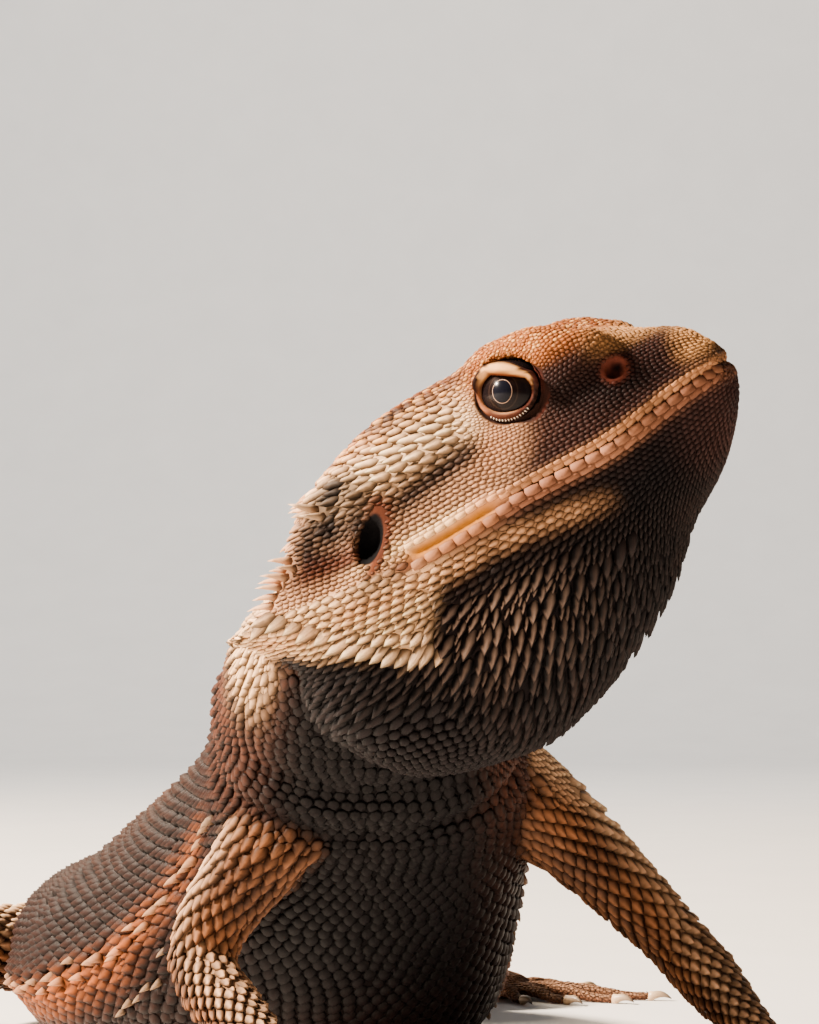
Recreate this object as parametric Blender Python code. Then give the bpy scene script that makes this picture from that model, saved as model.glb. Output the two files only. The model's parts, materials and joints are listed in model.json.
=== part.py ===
"""A still, life-size bearded dragon (Pogona vitticeps), belly on the floor, chest propped on its
forelegs and head raised and turned to its left.

Sizes are in millimetres and become metres where a mesh is written. The trunk faces -Y, its left is +X.
The head has its own frame, turned and lifted: the origin is where the lips meet at the snout, and a point
is (left, back, up), with back measured along the mouth line towards the neck.
"""

import math

import bmesh
import bpy
from mathutils import Euler, Matrix, Vector

MM = 0.001
GAP = 0.4  # between neighbouring pieces

# The pose: where the snout is, and how the head is held.
SNOUT = Vector((15.0, -54.0, 91.0))
HEAD_TURN = 45.0  # degrees to its left of the trunk's own direction
HEAD_LIFT = 27.0  # degrees of the mouth line above the floor
HEAD_ROLL = 11.0  # degrees, its right side down
BELLY_REST = Vector((3.0, 84.0, 0.0))  # becomes the part's origin

# Head, by distance behind the snout's tip.
HEAD_BACK = 50.0
JAW_BACK = 55.0
CROWN = [(0, 2), (2, 4), (5.6, 6.6), (10, 9.4), (15, 11.8), (22, 13), (33, 13.6), (41, 12.9), (50, 9.5)]
LIPS = [(0, -0.8), (7, -1.6), (13, -2.9), (26, -2.7), (36, -3.1), (46, -2.6), (60, -0.5)]
THROAT = [(0, -4.2), (2, -7), (7, -11.7), (14, -16), (17, -19.3), (23, -23.2), (33, -27.6), (40, -29.4)]
THROAT += [(49, -27.4), (53, -24.5), (55, -21)]
LIP_HALF = [(0, 2.6), (0.8, 4.2), (2.5, 6), (7, 8.8), (13, 12.4), (17, 14), (21, 15.6), (26, 17.2)]
LIP_HALF += [(36, 19), (45, 21), (51, 20.6), (55, 17)]
CROWN_HALF = [(0, 2), (1.5, 3.8), (5, 5.6), (9, 7.8), (14, 11.2), (19, 12.8), (25, 13), (32, 13.8)]
CROWN_HALF += [(40, 15.2), (50, 15)]
SQUARE = [(0, 0.85), (10, 0.72), (18, 0.6), (50, 0.62)]  # of the crown's section; less is squarer
THROAT_HALF = [(0, 2), (4, 5.4), (10, 8.4), (20, 12), (30, 15), (40, 17.8), (50, 19), (55, 14)]
JAW_SPINE = 2.4
JAW_SPINE_LEAN = (0, 1.3, -0.6)
JAW_SPINES = ((12, 3), (13, 3), (14, 2), (15, 2), (16, 1), (17, 1), (18, 1))  # (ring, place) on its side
BROW = {"back": 15.5, "left": 10.0, "long": 7.5, "wide": 3.2, "high": 3.6}
REAR_SLANT = 6.5  # how much further back the jaw's corner reaches than the crown
POUCH_BACK = 5.0  # how much further back the beard's pouch reaches than the jaw's corner
EYE = {"back": 21.2, "up": 7.3, "sunk": 3.0, "radius": 4.0}
ORBIT = {"across": 5.2, "deep": 1.4}
EAR = {"back": 41.6, "up": 0.8, "sunk": 0.3, "wide": 1.5, "high": 2.9, "deep": 4.0, "tilt": 42.0}
NOSTRIL = {"back": 9.9, "up": 4.0, "sunk": 0.3, "radius": 0.8}

# Neck, trunk and tail: centre, then half width, height above it and depth below it.
SKULL_BASE = (1.0, 43.0, -2.0)  # in the head's frame
SKULL_END = (13.0, 6.0, 12.0)
BODY_KNOTS = [
    ((-14.0, -17.5, 59.5), 15.5, 7, 13.5),
    ((-10, -7.5, 52), 18.5, 12, 14.5),
    ((-5, 5, 43.5), 20.5, 16.5, 15.5),
    ((-1, 21, 32.5), 23.5, 21, 18),
    ((0.5, 42, 20.5), 28.5, 23.5, 22),
    ((3, 66, 14.5), 35, 18.5, 18),
    ((4, 92, 12.5), 33.5, 17.5, 16),
    ((2, 116, 11.5), 22, 14, 14),
    ((0, 132, 10), 14.5, 11, 12),
    ((-3, 152, 7.8), 10.5, 8.2, 8.6),
    ((-5, 188, 6.0), 7.6, 6.0, 6.6),
    ((1, 230, 4.6), 5.6, 4.5, 5.2),
    ((18, 272, 3.4), 4, 3.4, 4.1),
    ((42, 308, 2.4), 2.6, 2.4, 3.1),
    ((66, 334, 1.5), 1.0, 1.0, 2.0),
]
TRUNK_FROM, TAIL_FROM = 36.0, 186.0  # lengths along the line from the skull's base
TORSO_SIDES = 26
FRINGE = (4, 17)  # rings from the trunk's end
FRINGE_SPINE = 2.4
TAIL_LENGTHS = (50.0, 58.0, 60.0)  # the fourth length runs on to the tip
TAIL_SIDES = (12, 10, 9, 8)

# Limbs: the joints of the right side; the left side has its own stance.
ARM_JOINTS = {
    "right": [(-10, -3, 44), (-17, 0, 38), (-27, 14, 18.5), (-21, -14, 5.6)],
    "left": [(8, -1, 44), (17, 2, 38.5), (39, 5.5, 20), (42, -18, 5.6)],
}
LEG_JOINTS = {
    "right": [(-4, 121, 10), (-15, 118, 11), (-43, 104, 14.5), (-53, 130, 5.2)],
    "left": [(8, 122, 10), (18, 120, 11), (46, 104, 14.5), (60, 128, 5.2)],
}
ARM_RADII = [(0, 6.8), (0.2, 6.2), (0.4, 5.0), (0.57, 4.3), (0.7, 4.2), (0.85, 3.3), (1, 2.6)]
LEG_RADII = [(0, 8.5), (0.2, 7.8), (0.4, 6.2), (0.55, 5.2), (0.7, 5.0), (1, 3.0)]
HAND = {
    "length": 7.0,
    "half": 4.4,
    "thick": 2.3,
    "toe": 1.25,
    "toes": (7.0, 10.5, 12.5, 12.0, 8.0),  # free lengths, from the inner toe out
    "fan": (52, 24, 2, -22, -56),  # degrees inwards
    "claw": 3.2,
}
FOOT = {
    "length": 11.0,
    "half": 4.6,
    "thick": 2.5,
    "toe": 1.45,
    "toes": (8.0, 12.5, 17.5, 22.0, 12.0),
    "fan": (38, 18, 2, -12, -58),
    "claw": 3.4,
}
HAND_AIM = {"right": -10.0, "left": 22.0}  # degrees from straight ahead to its left
FOOT_AIM = {"right": -34.0, "left": 40.0}

FINISHES = {
    "skin": ((0.62, 0.40, 0.24), 0.75),
    "beard": ((0.20, 0.14, 0.11), 0.8),
    "eye": ((0.03, 0.02, 0.015), 0.15),
    "claw": ((0.10, 0.07, 0.05), 0.45),
}


def through(knots, at):
    """The value at `at` of one smooth curve through (place, value) knots. It is level beyond them."""
    if at <= knots[0][0]:
        return knots[0][1]
    if at >= knots[-1][0]:
        return knots[-1][1]
    i = next(n for n in range(len(knots) - 1) if at <= knots[n + 1][0])

    def slope(n):
        before, after = max(n - 1, 0), min(n + 1, len(knots) - 1)
        return (knots[after][1] - knots[before][1]) / (knots[after][0] - knots[before][0])

    (a, first), (b, last) = knots[i], knots[i + 1]
    span = b - a
    t = (at - a) / span
    return (
        first * (2 * t**3 - 3 * t**2 + 1)
        + last * (3 * t**2 - 2 * t**3)
        + slope(i) * span * (t**3 - 2 * t**2 + t)
        + slope(i + 1) * span * (t**3 - t**2)
    )


def spaced(first, last, count):
    return [first + (last - first) * n / (count - 1) for n in range(count)]


def signed_power(value, power):
    return math.copysign(abs(value) ** power, value)


def bell(distance, width):
    return math.exp(-((distance / width) ** 2))


# ---- meshes ----


def material_of(name, finish):
    colour, roughness = FINISHES[finish]
    material = bpy.data.materials.new(f"{name}_{finish}")
    material.use_nodes = True
    shader = material.node_tree.nodes["Principled BSDF"]
    shader.inputs["Base Color"].default_value = (*colour, 1)
    shader.inputs["Roughness"].default_value = roughness
    shader.inputs["Metallic"].default_value = 0.0
    return material


def empty_of(name, parent, location, rotation=(0, 0, 0)):
    """An empty that pieces are placed by. It turns about its Y axis first, then X, then Z."""
    made = bpy.data.objects.new(name, None)
    bpy.context.scene.collection.objects.link(made)
    made.parent = parent
    made.location = location * MM
    made.rotation_mode = "YXZ"
    made.rotation_euler = rotation
    return made


def object_of(name, bm, finish, parent, origin=(0, 0, 0), cutter=False):
    """A piece of its parent, with its own origin at a point of the parent's frame."""
    origin = Vector(origin)
    bmesh.ops.translate(bm, vec=-origin, verts=bm.verts)
    bm.normal_update()
    bmesh.ops.recalc_face_normals(bm, faces=bm.faces)
    bmesh.ops.scale(bm, vec=(MM, MM, MM), verts=bm.verts)
    mesh = bpy.data.meshes.new(name)
    bm.to_mesh(mesh)
    bm.free()
    mesh.shade_smooth()
    mesh.set_sharp_from_angle(angle=math.radians(50))
    mesh.materials.append(material_of(name, finish))
    made = bpy.data.objects.new(name, mesh)
    bpy.context.scene.collection.objects.link(made)
    made.parent = parent
    made.location = origin * MM
    if cutter:
        made.hide_render = True
        made.display_type = "WIRE"
    return made


def loft(rings):
    """A closed bmesh through rings of points, with a fan over each end, and its quads by [ring][place]."""
    bm = bmesh.new()
    rows = [[bm.verts.new(point) for point in ring] for ring in rings]
    quads = []
    for first, second in zip(rows, rows[1:]):
        corners = zip(first, first[1:] + first[:1], second[1:] + second[:1], second)
        quads.append([bm.faces.new(four) for four in corners])
    for row in (rows[0], rows[-1]):
        middle = bm.verts.new(sum((v.co for v in row), Vector()) / len(row))
        for n in range(len(row)):
            bm.faces.new((row[n], row[(n + 1) % len(row)], middle))
    return bm, quads


def raise_spines(bm, faces, length, lean):
    """Each face becomes a low pyramid whose tip stands out by length and leans the given way."""
    bm.normal_update()
    bmesh.ops.recalc_face_normals(bm, faces=bm.faces)
    for face in faces:
        direction = (face.normal + lean).normalized()
        tip = bmesh.ops.poke(bm, faces=[face])["verts"][0]
        tip.co += direction * length


def cut(piece, *cutters):
    for cutter in cutters:
        modifier = piece.modifiers.new("clear_of_" + cutter.name, "BOOLEAN")
        modifier.operation = "DIFFERENCE"
        modifier.solver = "EXACT"
        modifier.object = cutter


def join(piece, *others):
    for other in others:
        modifier = piece.modifiers.new("with_" + other.name, "BOOLEAN")
        modifier.operation = "UNION"
        modifier.solver = "EXACT"
        modifier.object = other


# ---- head ----


def head_turns():
    return tuple(math.radians(angle) for angle in (-HEAD_LIFT, -HEAD_ROLL, HEAD_TURN))


def head_point(back, around, grow=0.0):
    """A point of the head's skin. Around is 0 at the left lip and a quarter turn at the crown."""
    lips, half, square = (through(knots, back) for knots in (LIPS, LIP_HALF, SQUARE))
    across, up = math.cos(around), math.sin(around)
    if up >= 0:
        high = up**square
        half += (through(CROWN_HALF, back) - half) * high
        left = signed_power(across, square) * (half + grow)
        height = lips + (through(CROWN, back) - lips + grow) * high
        behind = REAR_SLANT * (1 - high) * (max(back, 0) / HEAD_BACK) ** 4
        near_brow = bell(back - BROW["back"], BROW["long"])
        near_brow *= bell(abs(left) - BROW["left"], BROW["wide"])
        height += BROW["high"] * near_brow * min(max((up - 0.2) / 0.3, 0), 1)
        near_eye = bell(math.hypot(back - EYE["back"], height - EYE["up"]), ORBIT["across"])
        left -= math.copysign(ORBIT["deep"] * near_eye, left)
    else:
        low = (-up) ** 0.85
        half += (through(THROAT_HALF, back) - half) * low
        left = signed_power(across, 0.75) * (half + grow)
        height = lips - (lips - through(THROAT, back) + grow) * low
        behind = POUCH_BACK * min(1.8 * low, 1) * (max(back, 0) / JAW_BACK) ** 4
    return Vector((left, back + behind, height))


def sunk_point(place, sign):
    """A point under the skin of the upper head, on the right (-1) or the left (1)."""
    low, high = 0.0, math.pi / 2
    for _ in range(30):
        middle = (low + high) / 2
        if head_point(place["back"], middle).z < place["up"]:
            low = middle
        else:
            high = middle
    left = head_point(place["back"], low).x - place["sunk"]
    return Vector((sign * left, place["back"], place["up"]))


def head_ring(back, upper, grow=0.0):
    """The upper or the lower half of the head's section, closed straight across at the lips."""
    turns = spaced(0, math.pi, 17) if upper else spaced(math.pi, 2 * math.pi, 17)
    ring = [head_point(back, turn, grow) for turn in turns]
    for point in (ring[0], ring[-1]):
        point.z = through(LIPS, point.y) + (GAP / 2 - grow if upper else grow - GAP / 2)
    return ring + [ring[-1].lerp(ring[0], share) for share in (0.25, 0.5, 0.75)]


def head_half(upper, grow=0.0):
    """The skull, or the jaw with its spines. Grown, it is the room that its neighbours leave for it."""
    far = HEAD_BACK if upper else JAW_BACK
    backs = [-grow] + [far * share**1.25 for share in spaced(0.02, 1, 21)]
    backs[-1] += grow
    bm, quads = loft([head_ring(back, upper, grow) for back in backs])
    if not upper:
        row = [quads[ring][place] for ring, right in JAW_SPINES for place in (right, 15 - right)]
        raise_spines(bm, row, JAW_SPINE + 3 * grow, Vector(JAW_SPINE_LEAN))
    return bm


def ball(name, radii, finish, parent, centre, cutter=False, around=14, rings=9, tilt=0.0):
    bm = bmesh.new()
    bmesh.ops.create_uvsphere(bm, u_segments=around, v_segments=rings, radius=1)
    bmesh.ops.scale(bm, vec=radii, verts=bm.verts)
    bmesh.ops.rotate(bm, matrix=Matrix.Rotation(math.radians(tilt), 3, "X"), verts=bm.verts)
    bmesh.ops.translate(bm, vec=centre, verts=bm.verts)
    return object_of(name, bm, finish, parent, centre, cutter)


def build_head(pose):
    """The skull, the jaw with the beard, both eyes, and the cutters for what meets them."""
    skull = object_of("head", head_half(True), "skin", pose)
    object_of("jaw_and_beard", head_half(False), "beard", pose)
    for side, sign in (("right", -1), ("left", 1)):
        eye_at, ear_at, nostril_at = (sunk_point(place, sign) for place in (EYE, EAR, NOSTRIL))
        radius, hole = EYE["radius"], NOSTRIL["radius"]
        ear_radii = (EAR["deep"], EAR["wide"], EAR["high"])
        ball(f"eye_{side}", [radius] * 3, "eye", pose, eye_at)
        cut(skull, ball(f"cut_socket_{side}", [radius + GAP] * 3, "skin", pose, eye_at, True))
        cut(skull, ball(f"cut_ear_{side}", ear_radii, "skin", pose, ear_at, True, 10, 7, EAR["tilt"]))
        cut(skull, ball(f"cut_nostril_{side}", [hole] * 3, "skin", pose, nostril_at, True, 8, 6))
    upper = object_of("cut_head", head_half(True, GAP), "skin", pose, cutter=True)
    lower = object_of("cut_jaw", head_half(False, GAP), "skin", pose, cutter=True)
    return [upper, lower]


# ---- neck, trunk and tail ----


def centre_line():
    """(length along, centre), then (length along, size) for each of the three sizes."""
    skull_base = SNOUT + Euler(head_turns(), "YXZ").to_matrix() @ Vector(SKULL_BASE)
    knots = [(skull_base, *SKULL_END), *BODY_KNOTS]
    points = [Vector(knot[0]) for knot in knots]
    along = [0.0]
    for before, after in zip(points, points[1:]):
        along.append(along[-1] + (after - before).length)
    sizes = [[(at, knot[n]) for at, knot in zip(along, knots)] for n in (1, 2, 3)]
    return list(zip(along, points)), sizes


def axes_at(line, at, hinge=None, step=0.5):
    """Centre, left and up at a length along a line. A hinge keeps left to one side of a bend."""
    before, after = max(at - step, line[0][0]), min(at + step, line[-1][0])
    ahead = (through(line, after) - through(line, before)).normalized()
    across = hinge - ahead * hinge.dot(ahead) if hinge else ahead.cross(Vector((0, 0, 1)))
    left = across.normalized()
    return through(line, at), left, left.cross(ahead)


def body_ring(line, sizes, at, count, grow=0.0):
    centre, left, up = axes_at(line, at)
    half, above, below = (through(knots, at) + grow for knots in sizes)
    ring = []
    for n in range(count):
        turn = 2 * math.pi * n / count
        across, rise = signed_power(math.cos(turn), 0.82), math.sin(turn)
        height = above * rise**0.88 if rise >= 0 else -below * (-rise) ** 0.75
        point = centre + left * half * across + up * height
        point.z = max(point.z, 0.0)
        ring.append(point)
    return ring


def build_body(stance, head_cutters):
    line, sizes = centre_line()
    neck_places = spaced(0, TRUNK_FROM - GAP, 9)
    trunk_places = spaced(TRUNK_FROM, TAIL_FROM - GAP, 25)

    def stretch(places, count, grow=0.0):
        return loft([body_ring(line, sizes, at, count, grow) for at in places])

    def with_fringe(places, grow=0.0):
        bm, quads = stretch(places, TORSO_SIDES, grow)
        rows = quads[-FRINGE[1] : -FRINGE[0]]
        faces = [row[place] for row in rows for place in (TORSO_SIDES - 1, TORSO_SIDES // 2)]
        raise_spines(bm, faces, FRINGE_SPINE + 3 * grow, Vector((0, 0.9, 0)))
        return bm

    neck = object_of("neck", stretch(neck_places, TORSO_SIDES)[0], "skin", stance, line[0][1])
    trunk = object_of("trunk", with_fringe(trunk_places), "skin", stance, through(line, TRUNK_FROM))
    for piece in (neck, trunk):
        cut(piece, *head_cutters)
    start = TAIL_FROM
    lengths = (*TAIL_LENGTHS, line[-1][0] - TAIL_FROM - sum(TAIL_LENGTHS))
    for n, (length, sides) in enumerate(zip(lengths, TAIL_SIDES), 1):
        places = spaced(start, start + length - (GAP if n < len(lengths) else 0), 8)
        object_of(f"tail_{n}", stretch(places, sides)[0], "skin", stance, through(line, start))
        start += length
    room = with_fringe(neck_places + trunk_places, GAP)
    return object_of("cut_torso", room, "skin", stance, cutter=True)


# ---- limbs ----


def limb_line(joints):
    """Joints rounded into a smooth line, with a knot either side of each middle joint."""
    joints = [Vector(joint) for joint in joints]
    points = [joints[0]]
    for before, joint, after in zip(joints, joints[1:], joints[2:]):
        points += [joint.lerp(before, 0.3), joint.lerp((before + after) / 2, 0.16)]
        points.append(joint.lerp(after, 0.3))
    points.append(joints[-1])
    along, line = 0.0, []
    for n, point in enumerate(points):
        along += (point - points[n - 1]).length if n else 0
        line.append((along, point))
    return line


def tube_ring(line, at, radius, count, flat=1.0, hinge=None):
    centre, left, up = axes_at(line, at, hinge)
    ring = []
    for n in range(count):
        turn = 2 * math.pi * (n + 0.5) / count
        point = centre + left * math.sin(turn) * radius - up * math.cos(turn) * radius * flat
        point.z = max(point.z, 0.0)
        ring.append(point)
    return ring


def limb_stretch(name, line, radii, first, last, hinge, stance):
    """A length of limb, held back at both ends by half the gap."""
    length = line[-1][0]
    at = spaced(first, last, 8)
    rings = [tube_ring(line, a, through(radii, a / length), 12, 1.0, hinge) for a in at]
    for ring, place, sign in ((rings[0], first, 1), (rings[-1], last, -1)):
        _, left, up = axes_at(line, place, hinge)
        ring[:] = [point + up.cross(left) * sign * GAP / 2 for point in ring]
    return object_of(name, loft(rings)[0], "skin", stance, through(line, first))


def build_digit(name, root, ahead, length, sizes, stance):
    """A toe that arches a little and lies flat at its end, and its hooked claw. Returns the toe."""
    radius, claw_length = sizes["toe"], sizes["claw"]
    lying = radius * 0.5 - root.z
    arch = [(0, 0), (0.45, 0.3), (0.8, lying), (1, lying)]
    along = ahead * length
    knots = [(length * share, root + along * share + Vector((0, 0, rise))) for share, rise in arch]
    shares = (0, 0.3, 0.55, 0.8, 1)
    rings = [tube_ring(knots, length * share, radius * (1 - 0.3 * share), 6) for share in shares]
    toe = object_of(name, loft(rings)[0], "skin", stance, root, True)
    tip = knots[-1][1] + ahead * GAP
    hook = [(0, 0), (0.5, 0.35), (1, 0.2 - tip.z)]
    along = ahead * claw_length
    knots = [(claw_length * share, tip + along * share + Vector((0, 0, rise))) for share, rise in hook]
    widths = ((0, 0.62), (0.5, 0.46), (1, 0.16))
    rings = [tube_ring(knots, claw_length * share, radius * width, 6, 1.15) for share, width in widths]
    object_of("claw_" + name, loft(rings)[0], "claw", stance, tip)
    return toe


def palm(wrist, knuckles, sizes, grow=0.0):
    """The hand or the sole without its toes. Grown, it is the room that the limb leaves for it."""
    length = sizes["length"]
    middle = wrist.lerp(knuckles, 0.55) - Vector((0, 0, 0.6))
    line = [(0, wrist), (length * 0.55, middle), (length, knuckles)]
    widths = [(0, 0.62), (0.35, 0.74), (0.75, 1.0), (1, 0.86)]
    rings = []
    for share in spaced(0, 1, 6):
        half = sizes["half"] * through(widths, share)
        flat = (max(sizes["thick"], half * 0.5) + grow) / (half + grow)
        rings.append(tube_ring(line, share * length, half + grow, 12, flat))
    back = (rings[0][0] - rings[1][0]).normalized() * grow
    rings[0] = [point + back for point in rings[0]]
    return loft(rings)[0]


def build_paw(name, wrist, aim, sizes, side, stance):
    """Palm or sole from the wrist, with five toes joined to it; the first is on the inner side."""
    inward = -1 if side == "left" else 1
    ahead, left = (Vector((math.sin(turn), -math.cos(turn), 0)) for turn in (aim, aim + math.pi / 2))
    knuckles = Vector((*(wrist + ahead * sizes["length"]).xy, sizes["thick"] * 0.7))
    paw = object_of(name, palm(wrist, knuckles, sizes), "skin", stance, wrist)
    for n, (length, fan) in enumerate(zip(sizes["toes"], sizes["fan"]), 1):
        place = inward * (3 - n) / 2
        root = knuckles + left * place * (sizes["half"] - sizes["toe"]) * 0.95
        root -= ahead * (1.6 + 1.2 * abs(place))
        root.z = sizes["toe"] * 1.15
        turn = aim + math.radians(inward * fan)
        toe_ahead = Vector((math.sin(turn), -math.cos(turn), 0))
        join(paw, build_digit(f"{name}_toe_{n}", root, toe_ahead, length + 2.5, sizes, stance))
    return object_of("cut_" + name, palm(wrist, knuckles, sizes, GAP), "skin", stance, wrist, True)


def build_limb(side, names, joints, radii, aim, sizes, stance, cutters):
    line = limb_line(joints)
    bend = line[5][0]
    root, middle, end = (Vector(joint) for joint in joints[1:])
    hinge = (middle - root).cross(end - middle).normalized()
    upper = limb_stretch(f"{names[0]}_{side}", line, radii, 0, bend, hinge, stance)
    shaft = limb_stretch(f"{names[1]}_{side}", line, radii, bend, line[-1][0], hinge, stance)
    cut(upper, *cutters)
    cut(shaft, build_paw(f"{names[2]}_{side}", end, math.radians(aim), sizes, side, stance))


def main():
    for leftover in list(bpy.data.objects):
        bpy.data.objects.remove(leftover)
    stance = empty_of("stance", None, -BELLY_REST)
    pose = empty_of("head_pose", stance, SNOUT, head_turns())
    head_cutters = build_head(pose)
    torso_cutter = build_body(stance, head_cutters)
    arm, leg = ("upper_arm", "forearm", "hand"), ("thigh", "shank", "foot")
    for side in ("right", "left"):
        arm_cutters = [*head_cutters, torso_cutter]
        build_limb(side, arm, ARM_JOINTS[side], ARM_RADII, HAND_AIM[side], HAND, stance, arm_cutters)
        build_limb(side, leg, LEG_JOINTS[side], LEG_RADII, FOOT_AIM[side], FOOT, stance, [torso_cutter])


main()
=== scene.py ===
import json
import math

import bmesh
import bpy
import numpy as np
from mathutils import Euler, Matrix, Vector
from mathutils.bvhtree import BVHTree
from mathutils.kdtree import KDTree

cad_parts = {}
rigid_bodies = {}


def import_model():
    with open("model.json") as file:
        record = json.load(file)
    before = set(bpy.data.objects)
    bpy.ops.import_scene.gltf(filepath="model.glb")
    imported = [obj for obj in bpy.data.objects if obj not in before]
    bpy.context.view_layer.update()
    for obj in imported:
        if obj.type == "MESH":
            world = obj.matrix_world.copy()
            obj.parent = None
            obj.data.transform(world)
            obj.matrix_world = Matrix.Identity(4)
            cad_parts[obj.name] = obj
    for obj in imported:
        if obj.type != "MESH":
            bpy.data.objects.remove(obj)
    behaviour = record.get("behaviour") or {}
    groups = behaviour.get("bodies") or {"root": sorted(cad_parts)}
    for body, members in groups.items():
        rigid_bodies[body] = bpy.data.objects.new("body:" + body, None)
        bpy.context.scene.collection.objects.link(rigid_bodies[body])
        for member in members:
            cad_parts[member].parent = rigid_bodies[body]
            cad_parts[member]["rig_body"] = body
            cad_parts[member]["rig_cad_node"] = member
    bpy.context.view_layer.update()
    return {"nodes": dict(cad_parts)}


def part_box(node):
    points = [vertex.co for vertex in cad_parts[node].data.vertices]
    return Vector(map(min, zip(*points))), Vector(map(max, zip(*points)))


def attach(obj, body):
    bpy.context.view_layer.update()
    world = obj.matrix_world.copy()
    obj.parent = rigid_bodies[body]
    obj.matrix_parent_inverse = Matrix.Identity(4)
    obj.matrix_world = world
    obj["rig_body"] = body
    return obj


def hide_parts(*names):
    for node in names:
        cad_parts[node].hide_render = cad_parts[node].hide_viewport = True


# A bearded dragon with its head raised. Lengths in the dictionaries are millimetres.
# Head places are (left, back, up) from the tip of the snout, with back along the mouth line.
# A mark or a swelling is a product of bells (middle, width) and ramps (from, to) over those places.

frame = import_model()
nodes = frame["nodes"]
mm = 0.001
rng = np.random.default_rng(11)
pair = ("left", "right")
noise = {"strides": (73856093, 19349663, 83492791), "stir": 2654435761, "levels": 65536, "seedStep": 17.31}


def selectOnly(*chosen):
    bpy.ops.object.select_all(action="DESELECT")
    for obj in chosen:
        obj.select_set(True)
    bpy.context.view_layer.objects.active = chosen[0]


def modify(obj, name, kind, **settings):
    # a modifier added and applied at once
    selectOnly(obj)
    modifier = obj.modifiers.new(name, kind)
    for key, value in settings.items():
        setattr(modifier, key, value)
    bpy.ops.object.modifier_apply(modifier=modifier.name)


def editWhole(obj, job, **settings):
    # one job of edit mode on all of a piece
    selectOnly(obj)
    bpy.ops.object.mode_set(mode="EDIT")
    bpy.ops.mesh.select_all(action="SELECT")
    job(**settings)
    bpy.ops.object.mode_set(mode="OBJECT")


def readAll(items, key, width, kind=float):
    flat = np.empty(len(items) * width, kind)
    items.foreach_get(key, flat)
    return flat.reshape(-1, width)


def pointsOf(obj):
    return readAll(obj.data.vertices, "co", 3)


def setPoints(obj, points):
    obj.data.vertices.foreach_set("co", points.ravel())
    obj.data.update()


def normalsOf(obj):
    return readAll(obj.data.vertex_normals, "vector", 3, np.float32).astype(float)


def edgesOf(obj):
    return readAll(obj.data.edges, "vertices", 2, np.int32)


def unit(vectors):
    return vectors / np.maximum(np.linalg.norm(vectors, axis=-1, keepdims=True), 1e-12)


def bell(distance, width):
    return np.exp(-((distance / width) ** 2))


def ramp(value, low, high):
    share = np.clip((value - low) / (high - low), 0, 1)
    return share * share * (3 - 2 * share)


def fade(value, low, high):
    return 1 - ramp(value, low, high)


def knots(value, pairs):
    places, values = zip(*pairs)
    return np.interp(value, places, values)


def blend(first, second, share):
    # the share runs over the points, each with its three parts
    return first + (second - first) * share[:, None]


def lengthsOf(line):
    # how far along a line each of its knots is
    return np.concatenate([[0], np.cumsum(np.linalg.norm(np.diff(line, axis=0), axis=1))])


def onLine(marks, lengths, line):
    return np.stack([np.interp(marks, lengths, line[:, axis]) for axis in range(3)], 1)


def softNoise(points, size, seed=0):
    # smooth noise from -1 to 1 with features of about this size in millimetres
    scaled = points / (size * mm) + seed * noise["seedStep"]
    base = np.floor(scaled).astype(np.int64)
    part = scaled - base
    part = part * part * (3 - 2 * part)
    total = np.zeros(len(points))
    for corner in range(8):
        step = np.array([corner & 1, corner >> 1 & 1, corner >> 2 & 1])
        cell = (base + step) * noise["strides"]
        code = cell[:, 0] ^ cell[:, 1] ^ cell[:, 2]
        value = (np.abs(code * noise["stir"]) % noise["levels"]) / (noise["levels"] / 2) - 1
        total += value * np.prod(np.where(step == 1, part, 1 - part), axis=1)
    return total


def linear(colour):
    # a tone of 0 to 255 as the shader's own light
    share = np.array(colour) / 255
    return np.where(share < 0.04045, share / 12.92, ((share + 0.055) / 1.055) ** 2.4)


def linearTones(tones):
    return {name: linear(colour) for name, colour in tones.items()}


def meshFrom(name, points, faceSizes, corners):
    mesh = bpy.data.meshes.new(name)
    mesh.vertices.add(len(points))
    mesh.vertices.foreach_set("co", np.asarray(points, float).ravel())
    mesh.loops.add(len(corners))
    mesh.loops.foreach_set("vertex_index", np.asarray(corners, np.int32))
    mesh.polygons.add(len(faceSizes))
    sizes = np.asarray(faceSizes, np.int32)
    mesh.polygons.foreach_set("loop_start", np.concatenate([[0], np.cumsum(sizes)[:-1]]).astype(np.int32))
    mesh.polygons.foreach_set("loop_total", sizes)
    mesh.update(calc_edges=True)
    mesh.validate()
    obj = bpy.data.objects.new(name, mesh)
    bpy.context.scene.collection.objects.link(obj)
    return obj


def meshPiece(name, points, faces):
    return meshFrom(name, points, [len(face) for face in faces], [n for face in faces for n in face])


def tubeFaces(rows, around, first=0, closed=False):
    # squares between each ring of points and the next, and back to the first ring where it is closed
    faces = []
    for row in range(rows if closed else rows - 1):
        here, there = first + row * around, first + (row + 1) % rows * around
        for n in range(around):
            after = (n + 1) % around
            faces.append((here + n, here + after, there + after, there + n))
    return faces


def setTint(obj, colours):
    layer = obj.data.attributes.new("tint", "FLOAT_COLOR", "POINT")
    rows = np.ones((len(colours), 4))
    rows[:, :3] = colours
    layer.data.foreach_set("color", rows.ravel())


head = {
    "turn": 45,
    "lift": 27,
    "roll": 11,
    "eyeBack": 21.2,
    "eyeUp": 7.3,
    "mouth": [(0, -0.8), (7, -1.6), (13, -2.9), (26, -2.7), (36, -3.1), (46, -2.6), (60, -0.5)],
    "mouthBlend": 3,
    "mouthEnd": 38.5,
}
headAngles = [math.radians(angle) for angle in (-head["lift"], -head["roll"], head["turn"])]
headTurn = np.array(Euler(headAngles, "YXZ").to_matrix())
eyeMiddles = {side: np.array(sum(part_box("eye_" + side), Vector()) / 2) for side in pair}
eyesMiddle = (eyeMiddles["left"] + eyeMiddles["right"]) / 2
snout = eyesMiddle - headTurn @ np.array([0, head["eyeBack"], head["eyeUp"]]) * mm


def toHead(points):
    return (points - snout) @ headTurn / mm


def fromHead(points):
    return snout + (np.asarray(points) * mm) @ headTurn.T


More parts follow.
